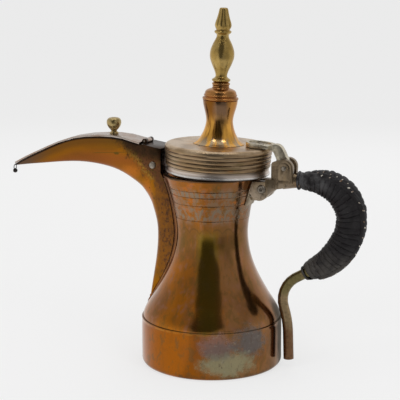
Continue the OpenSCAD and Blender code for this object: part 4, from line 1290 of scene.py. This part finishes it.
# ---- lid
@dataclass
class Lid:
    """The hinged lid: lip, collar, ribbed cap, hollow column, dome, ring, finial and arm.

    Heights of its pieces are counted from the underside of the lip.

    Attributes:
        shift, lean: How far the lid's axis stands towards the handle, and its lean in degrees.
        seat_z: Height of the mouth on which the lip rests.
        lip_r, lip_h: Radius and height of the lip.
        bead_r, bead_h, bead_w: Outer radius of the top bead, height of its middle and its own radius.
        ribs: Number of ribs on the wall.
        collar_r: Radius of the sleeve in the mouth.
        column_r, column_h: Radius of the column's waist, and height of its top.
        finial_h, finial_r: Height and largest radius of the finial.
    """

    shift: float = 5.0
    lean: float = 2.1
    seat_z: float = 161.6
    lip_r: float = 43.4
    lip_h: float = 5.6
    bead_r: float = 44.8
    bead_h: float = 20.0
    bead_w: float = 3.6
    ribs: int = 4
    collar_r: float = 31.5
    column_r: float = 11.1
    column_h: float = 61.0
    finial_h: float = 60.0
    finial_r: float = 10.1

    def place(self, obj: Object) -> Object:
        """Leans a piece that was turned about the lid's own axis and sets it on the mouth."""
        lift = self.lip_r * sine(self.lean) + 0.1
        Bench.edit(obj)
        Bench.turn(self.lean, "Y", (0, 0, 0))
        Bench.shift((self.shift, 0, self.seat_z + lift))
        Bench.done()
        return obj

    def lip(self) -> Object:
        """The tinned lip that rests on the mouth's ring."""
        wall = self.lip_r - 0.6
        profile = [(self.collar_r + 0.1, 0), (36, 0), (self.lip_r - 0.8, 0), (self.lip_r - 0.25, 0.1),
                   (self.lip_r, 0.5), (self.lip_r - 0.1, 1.1), (self.lip_r - 0.6, 1.8), (wall - 0.35, 2.8),
                   (wall - 0.4, 4), (wall - 0.4, self.lip_h - 0.1), (wall - 1.4, self.lip_h - 0.1),
                   (wall - 1.7, 1.8), (wall - 3, 1.0), (self.collar_r + 0.1, 1.0), (self.collar_r + 0.1, 0)]
        return self.place(Lathe("lid_lip_ring", profile, 160, 30).build())

    def cap(self) -> Object:
        """The ribbed wall, the top bead and the flat face in one spun sheet."""
        wall, bead = self.lip_r - 0.6, self.bead_r
        face_h, face_r, hub = self.bead_h + self.bead_w, bead - self.bead_w, 12.0
        pitch = (self.bead_h - 1.4 - self.lip_h) / self.ribs
        outer = [(wall - 0.9, self.lip_h + 0.1)]
        for i in range(self.ribs):
            for a in range(8, 180, 16):
                f = (i + a / 180) / self.ribs
                outer.append((wall + (bead - wall) * 0.5 * f + 0.95 * sine(a) ** 0.7 - 0.15,
                              self.lip_h + 0.1 + pitch * (i + a / 180)))
        outer += [(face_r + self.bead_w * cosine(a), self.bead_h + self.bead_w * sine(a))
                  for a in range(-42, 91, 9)]
        outer += [(face_r - 2, face_h - 0.12), (33, face_h - 0.05), (27, face_h), (19.5, face_h + 0.3),
                  (hub, face_h + 0.3)]
        inner = [(hub, face_h - 0.7), (face_r - 2, face_h - 1), (face_r, self.bead_h + 1),
                 (wall - 0.2, self.bead_h - 2.4), (wall - 1.2, self.lip_h + 0.1),
                 (wall - 0.9, self.lip_h + 0.1)]
        return self.place(Lathe("lid_wall", outer + inner, 160, 42).build())

    def column(self) -> Object:
        """The flared hollow column on the lid's face."""
        base = self.bead_h + self.bead_w + 0.4
        r, top = self.column_r, self.column_h - 1.2
        outer = [(21.5, base), (21.2, base + 0.3)]
        outer += bezier((21.2, base + 0.3), (17, base + 1.6), (r + 1.1, base + 8.5), (r, base + 18.1), 20)
        outer += bezier((r, base + 18.1), (r, base + 24.6), (14.2, top - 6), (14.4, top), 12)
        inner = [(q - 1, z) for q, z in reversed(outer) if z > base + 2]
        inner += [(15, base + 1.2), (15, base), (21.5, base)]
        return self.place(Lathe("lid_neck", outer + inner, 112, 40).build())

    def dome(self) -> Object:
        """The beads and the dome that close the column."""
        base = self.column_h - 1.1
        outer = [(14.4, 0), *arc(13.6, 1.35, 1.3, -70, 75, 9), (13.35, 2.9), (13.2, 3.3),
                 *arc(13.05, 4.1, 0.7, -60, 60, 5), (13.1, 5.0)]
        outer += bezier((13.1, 5.0), (13.0, 8), (10.6, 8.9), (7.6, 9.7), 10) + [(7.2, 10.3)]
        inner = [(2.6, 10.3), (2.6, 9.1), (7, 8.4), (11.4, 6), (12.4, 2), (12.4, 0), (14.4, 0)]
        profile = [(r, z + base) for r, z in outer + inner]
        return self.place(Lathe("lid_dome", profile, 96, 40).build())

    def ring(self) -> Object:
        """The small copper ring under the finial."""
        base = self.column_h + 9.3
        profile = [(2.6, 0), (6.7, 0), *arc(6.1, 0.9, 0.9, -60, 60, 5), (6.2, 1.7),
                   *arc(6.3, 2.9, 1.15, -75, 75, 8), (6.2, 4.2), (5.6, 4.55), (2.6, 4.55), (2.6, 0)]
        return self.place(Lathe("lid_washer_ring", [(r, z + base) for r, z in profile], 72, 40).build())

    def finial(self) -> Object:
        """The turned brass finial that ends in a fluted bud."""
        r, h = self.finial_r, self.finial_h
        # the dome and the ring lie between the column's top and the finial
        base = self.column_h - 1.1 + 10.4 + 4.6 + 0.05
        # outlines as shares of the finial's radius and height
        stem = [(0.66, 0), (0.74, 0.016), (0.74, 0.034), (0.52, 0.062), (0.475, 0.09), (0.56, 0.145),
                (0.78, 0.228), (0.95, 0.305), (1, 0.37), (0.94, 0.44), (0.76, 0.52), (0.56, 0.585),
                (0.5, 0.615), (0.515, 0.64), (0.68, 0.668), (0.67, 0.69), (0.56, 0.7)]
        bud = [(0.55, 0.705), (0.69, 0.755), (0.66, 0.8), (0.54, 0.86), (0.44, 0.92), (0.38, 0.97),
               (0.33, 0.992)]
        outline = smooth(stem, 5) + smooth(bud, 6) + [(0.26, 1.0), (0.12, 0.995), (0, 0.99)]
        profile = [(0, base - 8.5), (2.5, base - 8.5), (2.5, base)]
        profile += [(q * r, base + z * h) for q, z in outline]
        obj = Lathe("lid_finial", profile, 96, 48).build()
        # flutes that start under the bud and fade towards its tip
        start = base + bud[0][1] * h
        for vertex in obj.data.vertices:
            z = vertex.co.z / MM
            if z > start + 0.3:
                share = min(1.0, (z - start) / 4) * (1 - 0.35 * (z - start) / (0.295 * h))
                turn = math.atan2(vertex.co.y, vertex.co.x)
                groove = abs(math.cos(4 * turn)) ** 0.5
                factor = 1 - 0.16 * share * (1 - groove)
                vertex.co.x *= factor
                vertex.co.y *= factor
        obj.data.update()
        return self.place(obj)

    def build(self, dresser: Dresser) -> None:
        """Makes and dresses the pieces."""
        dresser.dress(self.lip(), Finish.LIP, "lid", ["lid_lip"])
        dresser.carry("lid_collar", "lid_sleeve", Finish.TIN, "lid", 0.2)
        dresser.dress(self.cap(), Finish.LID, "lid", ["lid_cap"])
        dresser.dress(self.column(), Finish.COLUMN, "lid", ["lid_column"])
        dresser.dress(self.dome(), Finish.DOME, "lid", ["column_dome"])
        dresser.dress(self.ring(), Finish.DOME, "lid", ["column_ring"])
        dresser.dress(self.finial(), Finish.FINIAL, "lid", ["finial"])
        dresser.carry("finial_washer", "peened_washer", Finish.TIN, "lid", 0.15)
        dresser.carry("lid_arm", "hinge_arm", Finish.ARM, "lid", 0.45)
        dresser.carry("arm_rivets", "arm_studs", Finish.RIVET, "lid", 0.15)


# ---- handle
@dataclass
class Handle:
    """The cast handle, its lug and rivets, the wound leather grip and its stitched seam.

    Attributes:
        rod_r: Radius of the rod inside the leather.
        rod_start: Where the rod's line starts, as (x, z, heading in degrees).
        bends: Its parts in turn, as (0, length) or (radius, degrees); a minus turns it down.
        grip_from, grip_to: Lengths along the rod between which the leather lies.
        grip_r: Radius of the grip at its middle.
        thong: Width of the leather thong.
        ridge: Depth of the valleys between two turns of the thong.
        seam_from, seam_to: Ends of the stitched seam, as shares of the grip's length.
    """

    rod_r: float = 4.3
    rod_start: Triple = (62.0, 160.0, 0.0)
    bends: tuple[Pair, ...] = ((0, 28), (-29.5, 99), (-50, 51), (0, 24), (22.5, 78), (-79.875, 16),
                               (0, 22.08))
    grip_from: float = 14.5
    grip_to: float = 137.478
    grip_r: float = 12.5
    thong: float = 4.1
    ridge: float = 0.8
    seam_from: float = 0.08
    seam_to: float = 0.93

    def along(self, s: float) -> Triple:
        """Place on the rod's line at a length: (x, z, heading in degrees)."""
        x, z, a = self.rod_start
        for i, (r, amount) in enumerate(self.bends):
            span = amount if r == 0 else abs(r) * math.radians(amount)
            share = s / span if i == len(self.bends) - 1 else min(1.0, s / span)
            if r == 0:
                x, z = x + share * amount * cosine(a), z + share * amount * sine(a)
            else:
                before, a = a, a + math.copysign(1, r) * share * amount
                x, z = x + r * (sine(a) - sine(before)), z + r * (cosine(before) - cosine(a))
            if s <= span:
                break
            s -= span
        return x, z, a

    def grip_radius(self, f: float) -> float:
        """Radius of the grip at a share of its length."""
        keys = [(0, 6.4), (0.06, 8.3), (0.16, 10.9), (0.32, self.grip_r), (0.5, self.grip_r),
                (0.68, self.grip_r), (0.84, 11.2), (0.94, 9), (1, 6.6)]
        return lookup(f, smooth(keys, 6))

    @staticmethod
    def seam_turn(f: float) -> float:
        """Degrees from the outer spine to the stitched seam at a share of the grip's length."""
        return lookup(f, [(0.08, -54), (0.3, -44), (0.45, -30), (0.7, -22), (1, -26)])

    def on_grip(self, s: float, r: float, turn: float) -> Vector:
        """A place r from the rod's line at the length s, turned from the outer spine."""
        x, z, a = self.along(s)
        up, side = r * cosine(turn), r * sine(turn)
        return Vector((x - up * sine(a), side, z + up * cosine(a))) * MM

    @property
    def length(self) -> float:
        """Length of the grip along the rod."""
        return self.grip_to - self.grip_from

    def winding(self) -> Object:
        """The leather thong wound round the grip as one long screw of ridges."""
        # radius of the straight screw, points on one ridge and facets round it
        base, points, wedges = 10.0, 9, 56
        turns = int(self.length / self.thong)
        pitch = self.length / turns
        line = []
        for i in range(turns - 1):
            for j in range(points):
                t = j / points
                line.append(((i + t) * pitch, 0.0, base + self.ridge * (math.sin(math.pi * t) ** 0.4 - 1)))
        line.append(((turns - 1) * pitch, 0.0, base - self.ridge))
        obj = Bench.point("grip_winding", *line[0])
        Bench.draw(line)
        Bench.done()
        Bench.modify(obj, "SCREW", axis="X", angle=math.tau, screw_offset=pitch * MM, steps=wedges,
                     render_steps=wedges, use_merge_vertices=False, use_smooth_shade=True)
        Bench.edit(obj)
        Bench.weld(0.01)
        Bench.done()
        # the straight screw is bent on to the rod's line, with the unevenness of pulled leather
        for vertex in obj.data.vertices:
            x, y, z = (c / MM for c in vertex.co)
            turn = math.degrees(math.atan2(y, z))
            rise = math.hypot(y, z) - base
            around = Vector((cosine(turn), sine(turn), 0))
            wobble = 1.5 * noise.noise(around + Vector((0, 0, x / 8)))
            s = min(max(x + wobble, 0.0), self.length)
            f = s / self.length
            swell = 0.7 * noise.noise(1.6 * around + Vector((0, 7, x / 11)))
            crease = 0.35 * noise.noise(3 * around + Vector((4, 0, x / 2.2)))
            bite = 0.4 * noise.noise(Vector((round(x / pitch - 0.5) * 3.7, turn / 90, 3.3)))
            r = self.grip_radius(f) + rise + (swell + crease + bite) * min(1, 8 * f, 8 * (1 - f))
            ahead = (x + wobble - s) + 1.6 * (max(0.0, f - 0.94) / 0.06 - max(0.0, 0.06 - f) / 0.06)
            vertex.co = self.on_grip(self.grip_from + s + ahead * 0.8, max(r, self.rod_r + 0.8), turn)
        obj.data.update()
        bend = Vector((90, 0, 130)) * MM
        Bench.flip_unless(obj, lambda face: face.normal.dot(face.center - bend))
        Bench.soften(obj, 80)
        return obj

    def seam(self) -> Object:
        """The folded leather lip under the stitches, along the outer spine."""
        count = 90
        section = [(-2.6, -0.5), (-2.2, 0.7), (-1.1, 1.25), (0, 1.0), (1.1, 1.25), (2.2, 0.7), (2.6, -0.5)]
        line = [(x, 0.0, z) for x, z in section + section[:1]]
        obj = Bench.point("grip_seam", *line[0])
        Bench.draw(line)
        Bench.weld()
        for _ in range(count):
            bpy.ops.mesh.extrude_region_move(TRANSFORM_OT_translate={"value": (0, MM, 0)})
        bpy.ops.mesh.select_all(action="SELECT")
        bpy.ops.mesh.fill_holes(sides=16)
        bpy.ops.mesh.normals_make_consistent(inside=False)
        Bench.done()
        for vertex in obj.data.vertices:
            x, y, z = (c / MM for c in vertex.co)
            f = self.seam_from + (self.seam_to - self.seam_from) * y / count
            r = self.grip_radius(f) + z + 0.35 * noise.noise(Vector((x / 2, y / 2.2, 5)))
            turn = self.seam_turn(f) + math.degrees(x / max(r, 1)) + 3 * noise.noise(Vector((y / 6, 0, 9)))
            vertex.co = self.on_grip(self.grip_from + f * self.length, r, turn)
        obj.data.update()
        Bench.edit(obj)
        bpy.ops.mesh.normals_make_consistent(inside=False)
        Bench.done()
        Bench.soften(obj, 60)
        return obj

    def stitches(self) -> Object:
        """One row of uneven stitches over the seam, and a few shorter ones beside its upper end."""
        Bench.clear()
        bpy.ops.mesh.primitive_cylinder_add(vertices=10, radius=0.52 * MM, depth=2.0 * MM,
                                            location=(0, 0, 0), rotation=(0, math.pi / 2, 0))
        model = bpy.context.object
        bpy.ops.object.transform_apply(location=True, rotation=True, scale=True)
        Bench.modify(model, "BEVEL", width=0.38 * MM, segments=3, limit_method="ANGLE",
                     angle_limit=math.radians(40))
        pieces = []
        # each row as its count, its two ends on the grip, its turn from the seam and its stitches' size
        for count, first, last, aside, size in ((17, 0.13, 0.92, 0, 1.0), (6, 0.11, 0.30, 17, 0.75)):
            for i in range(count):
                jitter = noise.noise(Vector((i * 1.73, aside * 3.1, 0.4)))
                other = noise.noise(Vector((i * 2.31, aside, 5.2)))
                f = first + (last - first) * (i + 0.5 + 0.7 * jitter) / count
                s = self.grip_from + f * self.length
                r = self.grip_radius(f) + (1.15 if aside == 0 else 0.5)
                turn = self.seam_turn(f) + aside + 9 * other
                heading = self.along(s)[2]
                here = self.on_grip(s, r, turn)
                up = (self.on_grip(s, r + 1, turn) - here).normalized()
                ahead = Vector((cosine(heading), 0, sine(heading)))
                across = up.cross(ahead).normalized()
                run = (ahead * (0.55 + jitter) + across * (0.85 + other)).normalized()
                grow = size * (1 + 0.45 * other)
                axes = Matrix((run * grow, up.cross(run).normalized() * grow, up * size)).transposed()
                piece = model.copy()
                piece.data = model.data.copy()
                bpy.context.scene.collection.objects.link(piece)
                piece.data.transform(Matrix.Translation(here) @ axes.to_4x4())
                pieces.append(piece)
        bpy.data.objects.remove(model)
        obj = Bench.join("grip_stitches", pieces)
        Bench.soften(obj, 50)
        return obj

    def build(self, dresser: Dresser) -> None:
        """Makes and dresses the pieces."""
        dresser.carry("neck_lug", "handle_lug", Finish.BRASS, "pot", 0.3)
        dresser.carry("lug_rivets", "lug_studs", Finish.RIVET, "pot", 0.1)
        dresser.carry("handle_casting", "handle_cast", Finish.CASTING, "pot", 0.3)
        dresser.carry("cross_rivet", "fork_rivet", Finish.RIVET, "pot", 0.3)
        dresser.carry("lid_hinge_pin", "hinge_pin", Finish.RIVET, "pot", 0.3)
        dresser.dress(self.winding(), Finish.LEATHER, "pot", ["grip_wrap"])
        dresser.carry("end_bindings", "grip_bindings", Finish.LEATHER, "pot")
        dresser.dress(self.seam(), Finish.LEATHER, "pot", ["spine_braid"])
        dresser.dress(self.stitches(), Finish.THREAD, "pot")


# ---- studio
@dataclass
class Studio:
    """Pale floor, soft lights and the camera.

    Attributes:
        lens: The camera's lens in millimetres.
        eye: The camera's place in millimetres.
        pitch, turn: Degrees that it looks down, and that it stands round to the right.
        paper: How pale the floor is.
        soft: Strength of the even light from all round.
        aim_z: Height that the lamps point at, in metres.
        backdrop: Colour that the camera sees behind the pot.
        paper_glow: Colour of the floor's own glow, in the camera's view and in reflections.
        shadow_tone: Colour of the floor in the darkest reflections.
    """

    lens: float = 109.4
    eye: Triple = (332.6, -943.1, 331.9)
    pitch: float = 10.93
    turn: float = 20.0
    paper: float = 0.83
    soft: float = 0.56
    aim_z: float = 0.12
    backdrop: Triple = (0.87, 0.87, 0.875)
    paper_glow: Triple = (1.0, 1.0, 1.0)
    shadow_tone: Triple = (0.02, 0.02, 0.02)

    def camera(self) -> None:
        """Sets the camera at its place."""
        data = bpy.data.cameras.new("camera")
        data.lens = self.lens
        data.sensor_width = 36
        data.clip_end = 100
        camera = bpy.data.objects.new("camera", data)
        camera.location = tuple(c * MM for c in self.eye)
        camera.rotation_euler = (math.radians(90 - self.pitch), 0, math.radians(self.turn))
        bpy.context.scene.collection.objects.link(camera)
        bpy.context.scene.camera = camera

    def lamp(self, name: str, bearing: float, height: float, distance: float, size: Pair,
             radiance: float) -> None:
        """Adds a soft box that faces the pot; metal mirrors the surround instead of it.

        Args:
            name: Lamp's name.
            bearing: Degrees round the pot from the camera's side, positive to the camera's right.
            height: Height of its middle in metres.
            distance: Distance from the pot in metres.
            size: Width and height in metres.
            radiance: Brightness of its surface.
        """
        data = bpy.data.lights.new(name, "AREA")
        data.shape = "RECTANGLE"
        data.size, data.size_y = size
        data.energy = radiance * math.pi * size[0] * size[1]
        lamp = bpy.data.objects.new(name, data)
        around = self.turn + bearing
        spot = Vector((sine(around) * distance, -cosine(around) * distance, height))
        lamp.location = spot
        lamp.rotation_euler = (spot - Vector((0, 0, self.aim_z))).to_track_quat("Z", "Y").to_euler()
        lamp.visible_glossy = False
        bpy.context.scene.collection.objects.link(lamp)

    def bearing(self, east: Value, north: Value) -> Value:
        """Degrees round the pot from the camera's side, positive to the camera's right."""
        ahead = east * sine(self.turn) - north * cosine(self.turn)
        aside = east * cosine(self.turn) + north * sine(self.turn)
        return aside.fn("ARCTAN2", ahead) * (180 / math.pi)

    def floor(self) -> None:
        """Adds the pale floor, which keeps the pot's shadow.

        Reflections of it are dimmer before the pot, and darkest where it runs to the doorway.
        """
        Bench.clear()
        bpy.ops.mesh.primitive_plane_add(size=60, location=(0, 0, 0))
        floor = bpy.context.object
        floor.name = "floor"
        material = bpy.data.materials.new("paper")
        material.use_nodes = True
        g = Graph(material.node_tree)
        east, north, _ = g.split(g.node("TexCoord").outputs["Object"])
        bearing = self.bearing(east, north)
        path = g.node("LightPath")
        camera, mirror, clear = (Value(g, path.outputs[f"Is {kind} Ray"])
                                 for kind in ("Camera", "Glossy", "Transmission"))
        away = g.length(east, north)
        front = (bearing.band(-30, 78, 8) * (0.37 + away.over(0.3, 0.6) * 0.24)).fn("MAXIMUM", 0.08)
        front = front.fn("MAXIMUM", bearing.band(70, 150, 8) * 0.3)
        front = front + bearing.band(-60, 34, 6) * away.over(0.4, 0.6) * 0.12
        bulge = (bearing + 14) * 0.05
        door = bearing.band(-33, 5, 2) * (away - bulge * bulge * 0.12).over(0.52, 0.62) * 0.95
        shade = g.mix(mirror * front.fn("MAXIMUM", door), self.paper_glow, self.shadow_tone)
        glow = g.node("Emission", {"Color": shade})
        matt = g.node("BsdfDiffuse", {"Color": (self.paper,) * 3})
        share = ((camera + clear) * 0.68 + mirror * 0.94).fn("MINIMUM", 0.94)
        both = g.node("MixShader", {0: share, 1: matt.outputs[0], 2: glow.outputs[0]})
        g.node("OutputMaterial", {"Surface": both.outputs[0]})
        floor.data.materials.append(material)

    def room(self, bearing: Value, rise: Value) -> Value:
        """Brightness of the surround as metal mirrors it.

        Args:
            bearing: Degrees round the pot from the camera's side, positive to the camera's right.
            rise: Sine of the angle above the horizon.

        Returns:
            The brightness: a dim room with a dark doorway in front, pale paper behind and two
            small bright windows high up.
        """
        room = 0.47 + bearing.band(-140, -84, 7) * 0.1
        room = room - bearing.band(36, 56, 7) * rise.over(0.4, 0.1) * 0.12
        sides = bearing.band(-150, -45, 14) + bearing.band(66, 150, 14)
        room = room + sides * rise.over(0.5, 0.0) * 0.27
        # the doorway widens upwards and ends below the ceiling
        left, right = rise.over(0.1, 0.4) * -7 - 33, rise.over(0.05, 0.5) * 15 + 7
        doorway = bearing.band(left, right, 2.5) * rise.over(0.93, 0.85)
        room = room * (1 - doorway * 0.80)
        behind = bearing.over(118, 130) + bearing.over(-132, -146)
        room = room * (1 - behind) + behind * 0.78
        windows = bearing.band(36, 54, 2) + bearing.band(-54, -36, 2)
        return room + rise.over(0.8, 1.0) * 0.3 + windows * rise.band(0.85, 0.92, 0.012) * 6

    def world(self) -> None:
        """Sets the surround: the camera sees pale paper, metal a room, and all else an even light."""
        world = bpy.data.worlds.new("surround")
        world.use_nodes = True
        bpy.context.scene.world = world
        g = Graph(world.node_tree)
        east, north, rise = g.split(g.node("TexCoord").outputs["Generated"])
        path = g.node("LightPath").outputs
        light = g.node("Background", {"Color": (1, 1, 1), "Strength": self.soft})
        shown = g.node("Background", {"Color": self.backdrop})
        mirror = g.node("Background", {"Color": self.room(self.bearing(east, north), rise)})
        glossy = g.node("MixShader", {0: path["Is Glossy Ray"], 1: light.outputs[0], 2: mirror.outputs[0]})
        clear = Value(g, path["Is Camera Ray"]).fn("MAXIMUM", Value(g, path["Is Transmission Ray"]))
        seen = g.node("MixShader", {0: clear, 1: glossy.outputs[0], 2: shown.outputs[0]})
        g.node("OutputWorld", {"Surface": seen.outputs[0]})

    def build(self) -> None:
        """Sets up the studio."""
        bpy.context.scene.view_settings.view_transform = "Standard"
        self.camera()
        self.floor()
        self.world()
        for name, bearing, height, distance, size, radiance in (
                ("left_box", -40, 1.0, 1.05, (0.34, 0.42), 3.6),
                ("right_box", 36, 1.0, 1.05, (0.34, 0.42), 3.2),
                ("top_box", 10, 1.4, 0.3, (0.8, 0.8), 0.9),
                ("back_box", 172, 0.8, 1.2, (1.2, 0.7), 0.9)):
            self.lamp(name, bearing, height, distance, size, radiance)


def main() -> None:
    """Builds and dresses the whole pot."""
    logging.basicConfig(level=logging.INFO, format="%(name)s %(message)s")
    Studio().build()
    dresser = Dresser()
    for part in (Vessel(), Beak(), Lid(), Handle()):
        part.build(dresser)
        LOG.info("%s built", type(part).__name__)


if __name__ == "__main__":
    main()
